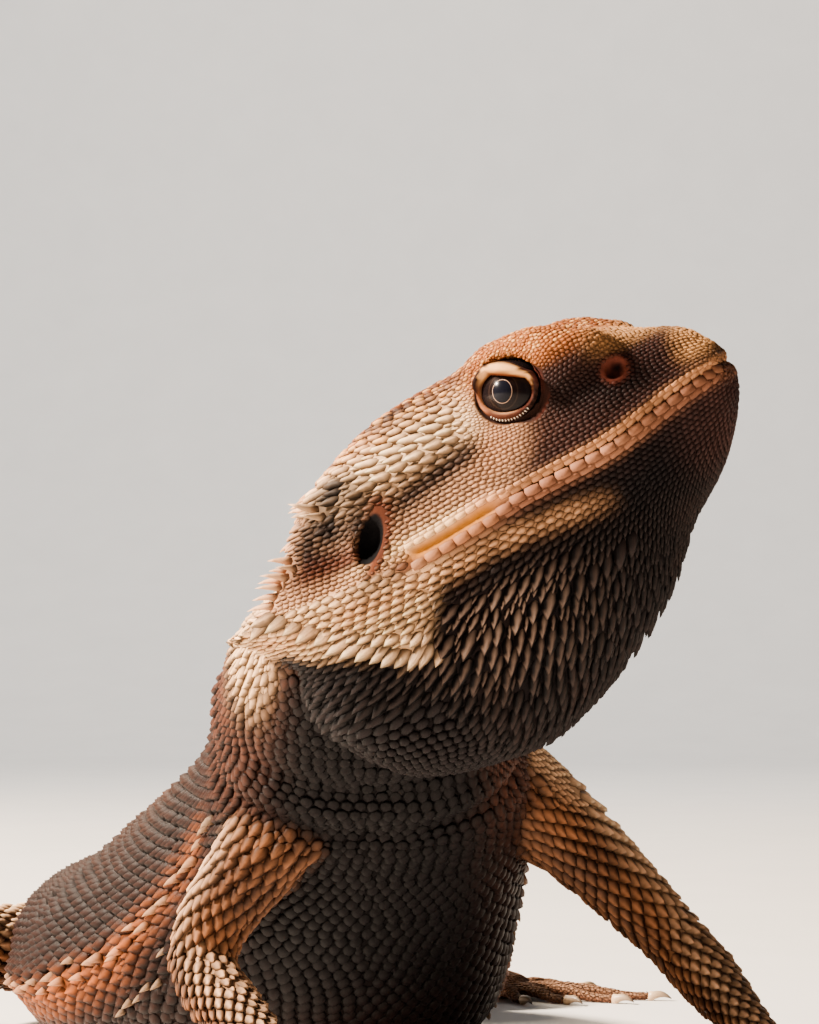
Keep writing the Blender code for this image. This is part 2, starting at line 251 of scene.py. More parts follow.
def headPlace(points):
    # how far a point is to either side, back from the snout's tip and up from it
    local = toHead(points)
    return np.abs(local[:, 0]), local[:, 1], local[:, 2]


def mouthHeight(back):
    reach = head["mouthBlend"]
    return knots(back[..., None] + np.linspace(-reach, reach, 7), head["mouth"]).mean(axis=-1)


skinShape = {
    "grow": 0.45,
    "voxel": 0.55,
    "coat": 0.42,
    "keep": 0.36,  # of the faces, nearly all of them lost from trunk, tail and limbs
    "rounds": 10,
    "pawKeep": 0.85,  # how much of the paws' form the smoothing leaves
    "pawFade": 4,
    "headEnds": {"back": (56, 64), "up": (-36, -31)},
    "levels": 10,
}
nape = {"back": 52, "wide": 9, "up": (-12, -2), "left": (15, 20), "rounds": 60, "strength": 1.4}
flange = {"back": 54, "wide": 5, "up": -7, "high": 7, "left": (15, 18), "share": 0.22}
fleshNames = [name for name in nodes if not name.startswith(("claw", "eye"))]


def makeSkin():
    # one surface over neck, trunk, tail and limbs, made from swollen copies of the solids
    copies = []
    for name in fleshNames:
        copy = nodes[name].copy()
        copy.data = nodes[name].data.copy()
        copy.name = "flesh_" + name
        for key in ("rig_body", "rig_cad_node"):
            del copy[key]
        copy.parent = None
        copy.data.materials.clear()
        bpy.context.scene.collection.objects.link(copy)
        work = bmesh.new()
        work.from_mesh(copy.data)
        bmesh.ops.remove_doubles(work, verts=work.verts, dist=1e-6)
        work.normal_update()
        for vert, push in [(vert, vert.normal * skinShape["grow"] * mm) for vert in work.verts]:
            vert.co += push
        work.to_mesh(copy.data)
        work.free()
        copies.append(copy)
    selectOnly(*copies)
    bpy.ops.object.join()
    skin = bpy.context.object
    skin.name = skin.data.name = "skin"
    modify(skin, "one_surface", "REMESH", mode="VOXEL", voxel_size=skinShape["voxel"] * mm)
    return skin


def smoothed(points, edges, rounds, share=0.5, mask=None):
    # each round moves a point towards the middle of its neighbours
    count = len(points)
    degree = np.bincount(edges.ravel(), minlength=count).astype(float)
    points = points.copy()
    for _ in range(rounds):
        middle = np.empty_like(points)
        for axis in range(points.shape[1]):
            total = np.bincount(edges[:, 0], points[edges[:, 1], axis], count)
            total += np.bincount(edges[:, 1], points[edges[:, 0], axis], count)
            middle[:, axis] = total / np.maximum(degree, 1)
        move = (middle - points) * share
        points += move if mask is None else move * mask[:, None]
    return points


def pawShare(points):
    # 1 on hands and feet, 0 elsewhere
    share = np.zeros(len(points))
    for name in ("hand_left", "hand_right", "foot_left", "foot_right"):
        low, high = (np.array(corner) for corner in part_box(name))
        outside = np.maximum(np.maximum(low - points, points - high), 0)
        share = np.maximum(share, fade(np.linalg.norm(outside, axis=1), 0, skinShape["pawFade"] * mm))
    return share


skin = makeSkin()
print("skin joined:", len(skin.data.vertices), "points")

points, edges = pointsOf(skin), edgesOf(skin)
paws = pawShare(points)
points = smoothed(points, edges, skinShape["rounds"], 0.5, 1 - skinShape["pawKeep"] * paws)
left, back, up = headPlace(points)
napeShare = bell(back - nape["back"], nape["wide"]) * ramp(up, *nape["up"]) * fade(left, *nape["left"])
flangeShare = bell(back - flange["back"], flange["wide"]) * bell(up - flange["up"], flange["high"])
flangeShare = flangeShare * ramp(left, *flange["left"])
napeShare = np.maximum(napeShare, flangeShare * flange["share"])
near = np.flatnonzero(napeShare > 0.02)
renumber = np.full(len(points), -1)
renumber[near] = np.arange(len(near))
nearEdges = renumber[edges]
nearEdges = nearEdges[(nearEdges >= 0).all(axis=1)]
mask = np.clip(napeShare[near] * nape["strength"], 0, 1)
points[near] = smoothed(points[near], nearEdges, nape["rounds"], 0.5, mask)
setPoints(skin, points)

# the trunk, limbs and tail need fewer faces than the head and the paws
_, back, up = headPlace(points)
headShare = fade(back, *skinShape["headEnds"]["back"]) * ramp(up, *skinShape["headEnds"]["up"])
group = skin.vertex_groups.new(name="plain")
plain = np.clip(1 - headShare - paws, 0, 1)
levels = skinShape["levels"]
for level in range(1, levels + 1):
    chosen = np.flatnonzero(np.round(plain * levels) == level)
    group.add(chosen.tolist(), level / levels, "REPLACE")
modify(skin, "fewer", "DECIMATE", ratio=skinShape["keep"], vertex_group=group.name)
skin.vertex_groups.clear()
print("skin thinned:", len(skin.data.vertices), "points,", len(skin.data.polygons), "faces")

eye = {
    "radius": 4.0,
    "gazeAhead": -1,  # degrees ahead of straight out
    "gazeUp": 10,
    "slant": 27,  # degrees that the opening's rear corner is raised in the head
    "openLong": 3.0,
    "openHigh": 2.3,
    "flatTop": 1.72,  # the upper lid's edge is nearly straight
    "topSlope": -0.12,
    "hood": 1.5,
    "lowerLid": 0.95,
    "rearLid": 0.45,
    "frontLid": 0.6,
    "trough": 1.5,  # height of the trough's floor over the ball's middle
    "troughRise": 2.6,
    "troughWide": (0.5, 1.0, 0.25),  # all round, added in front, added above
    "ballGap": 0.45,
    "edge": 0.3,
    # turn from the rear corner, spread and distance from the lid
    "frontFolds": [(152, 26, 0.55), (206, 26, 1.5)],
    "foldHigh": 0.55,
    "fine": 5.6,
}
nostril = {"back": 9.9, "up": 4.1, "hole": 0.62, "rim": 1.15, "bare": 1.45, "fine": 2.4}
ear = {"back": 41.6, "up": 0.8, "wide": 1.5, "high": 2.9, "tilt": 42, "rim": 1.42, "fine": 4.5}


def nostrilGap(back, up):
    return np.hypot(back - nostril["back"], up - nostril["up"])


def earSpot(points):
    # across and along the ear's opening, in shares of its half width and half height
    left, back, up = headPlace(points)
    tilt = math.radians(ear["tilt"])
    back, up = back - ear["back"], up - ear["up"]
    across = (back * math.cos(tilt) + up * math.sin(tilt)) / ear["wide"]
    height = (up * math.cos(tilt) - back * math.sin(tilt)) / ear["high"]
    return np.where(left > 12, across, 99), height


def eyeAxes(side):
    # gaze, then the opening's long way (towards the rear corner) and its high way, in the world
    sign = 1 if side == "left" else -1
    ahead, up = math.radians(eye["gazeAhead"]), math.radians(eye["gazeUp"])
    outward = [sign * math.cos(ahead) * math.cos(up), -math.sin(ahead) * math.cos(up), math.sin(up)]
    gaze = headTurn @ np.array(outward)
    tilt = math.radians(eye["slant"])
    rear = headTurn @ np.array([0.0, math.cos(tilt), math.sin(tilt)])
    rear = rear - gaze * (rear @ gaze)
    rear /= np.linalg.norm(rear)
    high = np.cross(gaze, rear) * sign
    return gaze, rear, high


def eyePolar(points, side):
    # millimetres along the gaze, off its axis, and the turn from the rear corner towards the top
    gaze, rear, high = eyeAxes(side)
    rel = (points - eyeMiddles[side]) / mm
    along, x, y = rel @ gaze, rel @ rear, rel @ high
    return along, np.hypot(x, y), np.arctan2(y, x)


def lidReach(turn):
    # how far the opening and the lids' outer crease are from the gaze axis
    opening = 1 / np.sqrt((np.cos(turn) / eye["openLong"]) ** 2 + (np.sin(turn) / eye["openHigh"]) ** 2)
    opening = np.minimum(opening, eye["flatTop"] / np.maximum(np.sin(turn + eye["topSlope"]), 0.01))
    above, behind = np.maximum(np.sin(turn), 0), np.maximum(np.cos(turn), 0)
    below, ahead = np.maximum(-np.sin(turn), 0), np.maximum(-np.cos(turn), 0)
    width = eye["hood"] * above**2 + eye["rearLid"] * behind**2
    width += eye["lowerLid"] * below**2 + eye["frontLid"] * ahead**2
    return opening, opening + width


def frontFold(off, outer, turn, fold, wide, high=1, spread=1):
    # one of the folds in front of the lids
    middle, width, place = fold
    aside = np.angle(np.exp(1j * (turn - math.radians(middle))))
    return high * bell(off - outer - place, wide) * bell(aside, math.radians(width * spread))


def subdivideNear(skin, isNear):
    work = bmesh.new()
    work.from_mesh(skin.data)
    middles = np.array([face.calc_center_median() for face in work.faces])
    work.faces.ensure_lookup_table()
    chosen = [work.faces[n] for n in np.flatnonzero(isNear(middles))]
    chosenEdges = list({edge for face in chosen for edge in face.edges})
    bmesh.ops.subdivide_edges(work, edges=chosenEdges, cuts=1, use_grid_fill=True)
    bmesh.ops.triangulate(work, faces=[face for face in work.faces if len(face.verts) > 4])
    work.to_mesh(skin.data)
    work.free()


def fineFaces(points):
    near = np.zeros(len(points), bool)
    for side in pair:
        along, off, _ = eyePolar(points, side)
        near |= (off < eye["fine"]) & (along > 0)
    left, back, up = headPlace(points)
    near |= nostrilGap(back, up) < nostril["fine"]
    near |= (np.hypot(back - ear["back"], up - ear["up"]) < ear["fine"]) & (left > 13)
    near |= (back < head["mouthEnd"] + 2) & (back > -3) & (np.abs(up - mouthHeight(back)) < 1.5)
    return near


def shapeHead(points, normals):
    # the small swellings (+) and hollows (-) of the head, in millimetres along the normals
    left, back, up = headPlace(points)
    lip = up - mouthHeight(back)
    onHead = fade(back, 50, 56) * ramp(up, -34, -30)
    mouth = fade(back, head["mouthEnd"] - 2, head["mouthEnd"])
    corner = ramp(back, 25, 28) * mouth
    side = ramp(left, 4.5, 7)
    rim = nostrilGap(back, up)
    canthus = 9.6 - 0.32 * (15 - back)
    nostrilRim = 0.45 * bell(rim - nostril["rim"], 0.35) - 1.7 * bell(rim, nostril["hole"])
    forms = {
        "mouthLine": -(0.4 * bell(lip, 0.35 + 0.4 * corner) * mouth),
        "lips": 0.22 * bell(lip - 1.1, 0.6) * mouth + 0.3 * bell(lip + 1.2, 0.8) * mouth,
        "lore": -(0.8 * bell(back - 14.5, 4.2) * bell(up - 3.4, 2.2) * side),
        "canthus": 0.35 * bell(up - canthus, 0.9) * ramp(back, 5, 8) * fade(back, 14, 17) * side,
        "temple": 0.55 * bell(up - 6.8, 1.5) * ramp(back, 27, 31) * fade(back, 44, 49) * side,
        "underTemple": -(0.5 * bell(up - 3.0, 1.7) * ramp(back, 27, 31) * fade(back, 36, 39) * side),
        "browFront": 0.4 * bell(back - 14.5, 4) * bell(left - 9.5, 3.4) * ramp(up, 8.5, 11),
        "browTop": 1.2 * bell(back - 22.5, 3.5) * bell(left - 7, 4) * ramp(up, 10, 12.5),
        "snoutRidge": 1.5 * bell(back - 10.3, 3) * bell(left - 8.6, 3) * ramp(up, 5, 7.5),
        "snoutTip": 0.6 * bell(back - 3.5, 2.6) * bell(left, 5) * ramp(up, 2, 4),
        "ear": -(1.2 * bell(back - 46.2, 3.2) * bell(up - 1.8, 4.2) * ramp(left, 11, 13)),
        "nostril": side * nostrilRim,
    }
    push = sum(forms.values(), np.zeros(len(points)))
    return points + normals * (push * onHead)[:, None] * mm


def orbitWide(turn):
    # how wide the trough is between the lids and the scaled skin
    allRound, front, above = eye["troughWide"]
    lower = ramp(0.35 - np.sin(turn), 0, 0.5)
    wide = allRound + front * ramp(-np.cos(turn), 0.3, 0.8) * (0.35 + 0.65 * lower)
    return wide + above * ramp(np.sin(turn), 0, 0.6)


def sinkOrbit(points):
    # a trough round each eye, in which the lids lie
    edge = eye["edge"]
    for side in pair:
        gaze = eyeAxes(side)[0]
        along, off, turn = eyePolar(points, side)
        outer = lidReach(turn)[1]
        wide = orbitWide(turn)
        floor = eye["trough"] + eye["troughRise"] * ramp(off, outer, outer + wide)
        for fold in eye["frontFolds"]:
            floor = floor + frontFold(off, outer, turn, fold, 0.24, eye["foldHigh"])
        overBall = np.sqrt(np.maximum((eye["radius"] + eye["ballGap"]) ** 2 - off**2, 0))
        floor = np.where(off < outer - 0.6, 0.5, np.maximum(floor, overBall))
        inside = (off < outer + wide + edge) & (along > -1)
        drop = np.where(inside, np.maximum(along - floor, 0), 0)
        points = points - gaze * (drop * fade(off, outer + wide, outer + wide + edge))[:, None] * mm
    return points


# the line down the middle of the neck, trunk and tail, and one down each limb
memberLines = {
    "body": [
        (-13.6, -110.5, 69.9), (-17, -101.5, 59.5), (-13, -91.5, 52), (-8, -79, 43.5), (-4, -63, 32.5),
        (-2.5, -42, 20.5), (0, -18, 14.5), (1, 8, 12.5), (-1, 32, 11.5), (-3, 48, 10), (-6, 68, 7.8),
        (-8, 104, 6), (-2, 146, 4.6), (15, 188, 3.4), (39, 224, 2.4), (63, 250, 1.5),
    ],
    "arm_right": [(-13, -87, 44), (-20, -84, 38), (-30, -70, 18.5), (-24, -98, 5.6), (-25, -112, 2)],
    "arm_left": [(5, -85, 44), (14, -82, 38.5), (36, -78.5, 20), (39, -102, 5.6), (44, -114, 2)],
    "leg_right": [(-7, 37, 10), (-18, 34, 11), (-46, 20, 14.5), (-56, 46, 5.2), (-64, 35, 2)],
    "leg_left": [(5, 38, 10), (15, 36, 11), (43, 20, 14.5), (57, 44, 5.2), (66, 34, 2)],
}
lines = {name: np.array(line, float) * mm for name, line in memberLines.items()}
limbNames = ("arm_right", "arm_left", "leg_right", "leg_left")


def lineDirection(points, name):
    # the direction and the millimetres along of the nearest place on a member's line
    starts, steps = lines[name][:-1], np.diff(lines[name], axis=0)
    lengths = np.linalg.norm(steps, axis=1)
    before = lengthsOf(lines[name])[:-1]
    rel = points[:, None] - starts
    share = np.clip((rel * steps).sum(2) / lengths**2, 0, 1)
    gap = np.linalg.norm(rel - share[..., None] * steps, axis=2)
    weight = np.exp(-((gap - gap.min(1, keepdims=True)) / (6 * mm)))
    direction = unit((weight[..., None] * unit(steps)).sum(1))
    best = gap.argmin(1)
    rows = np.arange(len(points))
    return direction, (before[best] + share[rows, best] * lengths[best]) / mm


neck = {
    # place along the neck, push and width
    "folds": [(31, 1.3, 2.4), (35.6, -0.9, 1.6), (39.5, 0.6, 2.0), (23, 0.5, 1.8), (26.4, -0.5, 1.3)],
    "wave": 1.6,
    "waveSize": 12,
    "top": (66, 74),
    "halfWide": 22,
    "middle": -8,
    "end": -60,
}


def foldNeck(points, normals):
    along = lineDirection(points, "body")[1]
    wavy = along + neck["wave"] * softNoise(points, neck["waveSize"], 8)
    _, back, up = headPlace(points)
    free = 1 - fade(back, 50, 58) * ramp(up, -34, -29)
    high = fade(points[:, 2], *(height * mm for height in neck["top"]))
    push = sum(size * bell(wavy - place, width) for place, size, width in neck["folds"])
    limbs = np.clip(np.abs(points[:, 0] - neck["middle"] * mm) / (neck["halfWide"] * mm), 0, 1)
    push = push * free * high * fade(limbs, 0.9, 1) * (points[:, 1] < neck["end"] * mm)
    return points + normals * push[:, None] * mm


skinFit = {
    "paws": 0.7,  # how much thinner the coat's room is on paws, at the tail's end and round the ears
    "tail": 0.6,
    "ear": 0.9,
    "tailEnd": (0.17, 0.25),
    "earWide": 3.2,
    "rounds": 2,
    "share": 0.4,
    "lowest": 0.1,
}
subdivideNear(skin, fineFaces)
points, edges, normals = pointsOf(skin), edgesOf(skin), normalsOf(skin)
left, back, up = headPlace(points)
paws = pawShare(points)
earNear = bell(np.hypot(back - ear["back"], up - ear["up"]), skinFit["earWide"]) * (left > 12)
tailEnd = ramp(points[:, 1], *skinFit["tailEnd"])
coatDepth = skinShape["coat"] * (1 - skinFit["paws"] * paws)
coatDepth = coatDepth * (1 - skinFit["tail"] * tailEnd) * (1 - skinFit["ear"] * earNear)
points = points - normals * ((skinShape["grow"] + coatDepth) * mm)[:, None]
points = sinkOrbit(points)
setPoints(skin, points)
points = foldNeck(shapeHead(points, normalsOf(skin)), normalsOf(skin))
points = smoothed(points, edges, skinFit["rounds"], skinFit["share"], 1 - paws)
points[:, 2] = np.maximum(points[:, 2], skinFit["lowest"] * mm)
setPoints(skin, points)

lids = {
    # across the lid from the opening's edge (0) to its crease (1), and how far it stands off the ball
    "hood": [
        (1.3, -0.1), (0, 0), (-0.05, 0.4), (-0.03, 0.85), (0.1, 1.08),
        (0.35, 1.12), (0.62, 1.0), (0.85, 0.7), (1.0, 0.3), (1.12, 0),
    ],
    "lower": [
        (1.3, -0.1), (0, 0), (-0.04, 0.3), (0.06, 0.55), (0.25, 0.64),
        (0.5, 0.62), (0.75, 0.6), (0.92, 0.45), (1.04, 0.2), (1.12, 0),
    ],
    "around": 144,
    "offBall": 0.05,
    "wrinkle": 0.1,
    "wrinkles": 30,
}


def lidRing(side):
    # a closed ring round the gaze axis, thick above and thin below
    gaze, rear, high = eyeAxes(side)
    turn = np.linspace(0, 2 * math.pi, lids["around"], endpoint=False)
    opening, outer = lidReach(turn)
    inner = eye["radius"] + lids["offBall"]
    openTurn = np.arcsin(opening / inner)
    outTurn = np.arcsin(np.minimum((outer + 0.1) / (inner + 0.4), 0.99))
    above = ramp(np.sin(turn), -0.1, 0.3)
    front = ramp(-np.cos(turn), 0.45, 0.9) * (np.sin(turn) < 0.3)
    outward = np.cos(turn)[:, None] * rear + np.sin(turn)[:, None] * high
    rings = []
    for hoodPart, lowerPart in zip(lids["hood"], lids["lower"]):
        across, lift = (upper * above + lower * (1 - above) for upper, lower in zip(hoodPart, lowerPart))
        wrinkle = lids["wrinkle"] * np.sin(turn * lids["wrinkles"]) * front
        wrinkle = wrinkle * bell(across - 0.4, 0.5) * (lift > 0.1)
        angle = openTurn + (outTurn - openTurn) * across
        reach = inner + lift * (0.95 + 0.2 * above) + wrinkle
        way = np.cos(angle)[:, None] * gaze + np.sin(angle)[:, None] * outward
        rings.append(eyeMiddles[side] + mm * reach[:, None] * way)
    faces = tubeFaces(len(rings), lids["around"], closed=True)
    ring = meshPiece("lids_" + side, np.concatenate(rings), faces)
    editWhole(ring, bpy.ops.mesh.normals_make_consistent, inside=False)
    return ring


for side in pair:
    ring = lidRing(side)
    modify(skin, "with_lids", "BOOLEAN", operation="UNION", solver="MANIFOLD", object=ring)
    bpy.data.objects.remove(ring)
bpy.ops.object.shade_smooth()
print("skin shaped:", len(skin.data.vertices), "points,", len(skin.data.polygons), "faces")

# where each scale grows

skin.data.calc_loop_triangles()
skinPoints, skinEdges = pointsOf(skin), edgesOf(skin)
skinNormals = unit(smoothed(normalsOf(skin), skinEdges, 6))
broadNormals = unit(smoothed(skinNormals, skinEdges, 25))
triangles = readAll(skin.data.loop_triangles, "vertices", 3, np.int32)
skinTree = BVHTree.FromPolygons(skinPoints.tolist(), triangles.tolist())


def nearestOnSkin(points):
    # place, triangle and distance of the skin's nearest point to each
    places, faces, gaps = np.empty((len(points), 3)), np.empty(len(points), int), np.empty(len(points))
    for n, point in enumerate(points.tolist()):
        places[n], _, faces[n], gaps[n] = skinTree.find_nearest(point)
    return places, faces, gaps


def skinShares(places, faces):
    # how much of each corner of its triangle a place has
    a, b, c = (skinPoints[triangles[faces, n]] for n in range(3))
    whole = np.cross(b - a, c - a)
    size = np.maximum((whole**2).sum(1), 1e-30)
    second = (np.cross(c - b, places - b) * whole).sum(1) / size
    third = (np.cross(a - c, places - c) * whole).sum(1) / size
    shares = np.clip(np.stack([second, third, 1 - second - third], 1), 0, 1)
    return shares / shares.sum(1, keepdims=True)


def atSkin(values, places, faces):
    shares = skinShares(places, faces)
    return (values[triangles[faces]] * shares[:, :, None]).sum(1)


memberNodes = {
    "arm_right": ("upper_arm_right", "forearm_right", "hand_right"),
    "arm_left": ("upper_arm_left", "forearm_left", "hand_left"),
    "leg_right": ("thigh_right", "shank_right", "foot_right"),
    "leg_left": ("thigh_left", "shank_left", "foot_left"),
    "head": ("head", "jaw_and_beard"),
    "body": ("neck", "trunk", "tail_1", "tail_2", "tail_3", "tail_4"),
}
members = list(memberNodes)
headNumber, bodyNumber = members.index("head"), members.index("body")


def treeOf(names):
    allPoints, allFaces, start = [], [], 0
    for name in names:
        mesh = nodes[name].data
        allPoints += [tuple(vert.co) for vert in mesh.vertices]
        allFaces += [tuple(start + n for n in face.vertices) for face in mesh.polygons]
        start = len(allPoints)
    return BVHTree.FromPolygons(allPoints, allFaces)


memberTrees = [treeOf(names) for names in memberNodes.values()]


def memberAt(points):
    # the member whose solid is nearest
    gaps = [[tree.find_nearest(point)[3] for tree in memberTrees] for point in points.tolist()]
    return np.array(gaps).argmin(1)


def tangent(directions, normals):
    return unit(directions - normals * (directions * normals).sum(1)[:, None])


def byMember(member, width, rule):
    # what a rule says for each member's own points
    found = np.zeros((len(member), width))
    for number, name in enumerate(members):
        chosen = member == number
        if chosen.any():
            found[chosen] = rule(name, chosen)
    return found


def downAt(local):
    # how steeply the scales of the beard hang, as a slope in the head's frame
    below = np.maximum(mouthHeight(local[:, 1]) - local[:, 2], 0)
    return 1.3 * ramp(below, 3, 14) * (1 - 0.8 * ramp(local[:, 1], 30, 48))


def lieOf(points, normals, member):
    # the way that a scale's tip points
    def wayOn(name, chosen):
        if name != "head":
            return lineDirection(points[chosen], name)[0]
        down = downAt(toHead(points[chosen]))
        return unit(np.stack([np.zeros(len(down)), np.ones(len(down)), -down], 1)) @ headTurn.T

    return tangent(byMember(member, 3, wayOn), normals)


scaleSizes = {
    # how far apart scales grow: along the body, and as a share of the way down a limb
    "body": [
        (0, 1.5), (40, 1.7), (75, 2.1), (120, 2.3), (160, 2.1), (200, 2.0), (260, 1.6), (320, 1.2),
        (390, 0.8),
    ],
    "limb": [(0, 1.9), (0.4, 1.9), (0.75, 1.5), (0.9, 1.1), (1, 0.85)],
    "usual": 2.0,
    "nearEye": 0.42,
    "nearEar": 0.62,
    "pawFiner": 0.25,
}


def sizeAt(points, member):
    # how far apart scales grow, in millimetres
    size = np.full(len(points), scaleSizes["usual"])
    left, back, up = headPlace(points)
    lip = up - mouthHeight(back)
    crown = 0.66 + 0.5 * ramp(back, 22, 33) - 0.16 * bell(left - 10.5, 3.5) * bell(back - 17, 8)
    temple = 0.62 * bell(up - 6.5, 3.2) * ramp(back, 25, 30) * (1 - 0.5 * ramp(back, 44, 50))
    face = 0.54 + 0.08 * ramp(back, 22, 34)
    upper = np.where(up > 8, crown, face) + temple
    lower = 0.62 + 0.26 * ramp(back, 10, 26) + 0.55 * bell(lip + 16, 6) * ramp(back, 12, 28)
    lower = lower + 0.12 * ramp(-lip, 17, 20)
    headSize = np.where(lip > 0, upper, lower)
    for side in pair:
        along, off, turn = eyePolar(points, side)
        outer = lidReach(turn)[1]
        nearEye = fade(off, outer + 0.6, outer + 3.5) * (along > 0)
        headSize = headSize * (1 - nearEye) + scaleSizes["nearEye"] * nearEye
    nearEar = bell(np.hypot(back - 42, up + 0.5), 5) * (left > 12) * (lip > 0)
    headSize = headSize * (1 - nearEar) + scaleSizes["nearEar"] * nearEar
    snoutEnd = 1 - 0.12 * fade(back, 0, 6)
    isHead = member == headNumber
    size[isHead] = (headSize * snoutEnd)[isHead]
    isBody = member == bodyNumber
    size[isBody] = knots(lineDirection(points[isBody], "body")[1], scaleSizes["body"])
    for name in limbNames:
        isLimb = member == members.index(name)
        along = lineDirection(points[isLimb], name)[1]
        length = sum(math.dist(a, b) for a, b in zip(memberLines[name], memberLines[name][1:]))
        size[isLimb] = knots(along / length, scaleSizes["limb"])
    return size * (1 - scaleSizes["pawFiner"] * pawShare(points))


def stretchAt(points, member):
    # how many times longer than wide a scale is along its lie
    _, back, up = headPlace(points)
    lip = up - mouthHeight(back)
    above = 1.25 + 0.75 * bell(up - 6.5, 3.2) * ramp(back, 25, 30) + 0.35 * bell(lip - 2.5, 2.5)
    below = 1.45 + 0.5 * ramp(-lip, 9, 13) + 0.4 * ramp(back, 24, 34) * fade(-lip, 9, 13)
    below = below - 0.85 * ramp(-lip, 16, 19) * ramp(back, 38, 44)
    return np.where(member == headNumber, np.where(lip > 0, above, below), 1.0)


def flatGap(place, other, way, stretch):
    # the distance between two roots, shortened along the lie
    x, y, z = other[0] - place[0], other[1] - place[1], other[2] - place[2]
    along = x * way[0] + y * way[1] + z * way[2]
    return math.sqrt(max(x * x + y * y + z * z - along * along, 0) + (along / stretch) ** 2)


def pointTree(places, numbers):
    tree = KDTree(len(places))
    for n in numbers:
        tree.insert(places[n], int(n))
    tree.balance()
    return tree


class Coat:
    # the roots of the scales so far; a new one is left out where it crowds an earlier one
    def __init__(self):
        self.rows = []
        self.roots = np.zeros((0, 3))
        self.sizes = np.zeros(0)
        self.tree = pointTree([], [])

    def isCrowded(self, place, size, spacing, way, stretch):
        for other, number, _ in self.tree.find_n(place, 3 if stretch == 1 else 6):
            if flatGap(place, other, way, stretch) < spacing * (size + self.sizes[number]) / 2 * mm:
                return True
        return False

    def keepApart(self, places, sizes, spacing, ways, stretches):
        # which of the new places are free, first of the old ones and then of each other
        kept = np.array([not self.isCrowded(place, sizes[n], spacing, ways[n], stretches[n])
                         for n, place in enumerate(places)], bool)
        own = pointTree(places, np.flatnonzero(kept))
        for n in np.flatnonzero(kept):
            if not kept[n]:
                continue
            for spot, other, _ in own.find_range(places[n], sizes[n] * spacing * 1.25 * stretches[n] * mm):
                least = spacing * (sizes[n] + sizes[other]) / 2 * mm
                if other > n and kept[other] and flatGap(places[n], spot, ways[n], stretches[n]) < least:
                    kept[other] = False
        return kept

    def add(self, places, faces, sizes, spacing, form=0, long=1.0, lean=0.0, pale=0.0):
        # spacing is the least distance between neighbours as a share of their mean size, 0 to keep all
        kept = np.ones(len(places), bool)
        if spacing:
            corner = triangles[faces, 0]
            ways, stretches = pointLie[corner].tolist(), pointStretch[corner].tolist()
            kept = self.keepApart(places.tolist(), sizes, spacing, ways, stretches)
        facts = {"place": places, "face": faces, "size": sizes}
        facts.update({"form": form, "long": long, "lean": lean, "pale": pale})
        for key, value in facts.items():
            whole = value if isinstance(value, np.ndarray) else np.full(len(places), value, float)
            facts[key] = whole[kept]
        self.rows.append(facts)
        self.roots = np.concatenate([self.roots, places[kept]])
        self.sizes = np.concatenate([self.sizes, sizes[kept]])
        self.tree = pointTree(self.roots.tolist(), range(len(self.roots)))
        return int(kept.sum())

    def all(self):
        return {key: np.concatenate([row[key] for row in self.rows]) for key in self.rows[0]}


pointMember = memberAt(skinPoints)
pointSize = sizeAt(skinPoints, pointMember)
pointLie = lieOf(skinPoints, broadNormals, pointMember)
pointStretch = stretchAt(skinPoints, pointMember)
coat = Coat()
tileForm, spineForm, leafForm = 1, 2, 3
bareEdge = {"trough": 0.2, "margin": 0.25, "corner": 0.75, "slit": 0.2}


def inOrbit(points, margin):
    inside = np.zeros(len(points), bool)
    for side in pair:
        along, off, turn = eyePolar(points, side)
        edge = lidReach(turn)[1] + orbitWide(turn) - bareEdge["trough"]
        inside |= (off < edge + margin) & (along > -2)
    return inside


def inEar(points, share):
    return np.hypot(*earSpot(points)) < share


def pointsOnHead(points):
    _, back, up = headPlace(points)
    return (back > -3) & (back < 58) & (up > -31)


def inHole(points):
    # ear, nostril, the mouth's corner and the slit between the lips
    left, back, up = headPlace(points)
    gape = np.abs(up - mouthHeight(back))
    across, height = earSpot(points)
    hole = inEar(points, 1.0) | (inEar(points, ear["rim"]) & (across - 0.6 * height < 0))
    hole |= (nostrilGap(back, up) < nostril["bare"]) & (left > 3)
    corner = (back > 26) & (back < head["mouthEnd"]) & (gape < bareEdge["corner"]) & (left > 10)
    slit = (back < 27) & (gape < bareEdge["slit"]) & (up > -4) & pointsOnHead(points)
    return hole | corner | slit


def isFree(places):
    return ~inHole(places) & ~inOrbit(places, bareEdge["margin"])


def onLips(points):
    _, back, up = headPlace(points)
    lip = up - mouthHeight(back)
    return (lip > -2.8) & (lip < 2.0) & (back < 38) & (back > 2.5) & pointsOnHead(points)


headRows = {
    "backs": (-1.4, 57, 0.4),
    "turns": 61,
    "most": 140,
    "rayLong": 60,
    "upperFirst": 0.42,
    "lowerFirst": 0.66,
    "cornerDrop": 0.65,
    "upper": [(0.7, 1.35), (0.45, 1.0)],  # height and length of the tiles in each row from the lip
    "lower": [(1.2, 1.9), (0.65, 1.9)],
    "tilesEnd": 39,
    "packed": 0.86,
    "wobble": 0.08,
    "apart": 0.72,
}


def headGrid(sign, upward):
    # rays out of the head's middle, from the mouth line to the crown or to the throat
    backs = np.arange(*headRows["backs"])
    turns = np.radians(np.linspace(0, 90, headRows["turns"])) * (1 if upward else -1)
    grid = np.full((len(backs), len(turns), 3), np.nan)
    heights = mouthHeight(backs)
    for i, back in enumerate(backs):
        start = fromHead([0, back, heights[i]])
        for j, turn in enumerate(turns):
            way = headTurn @ np.array([sign * math.cos(turn), 0, math.sin(turn)])
            hit = skinTree.ray_cast(start.tolist(), way.tolist(), headRows["rayLong"] * mm)[0]
            if hit is not None:
                grid[i, j] = hit
    return backs, grid


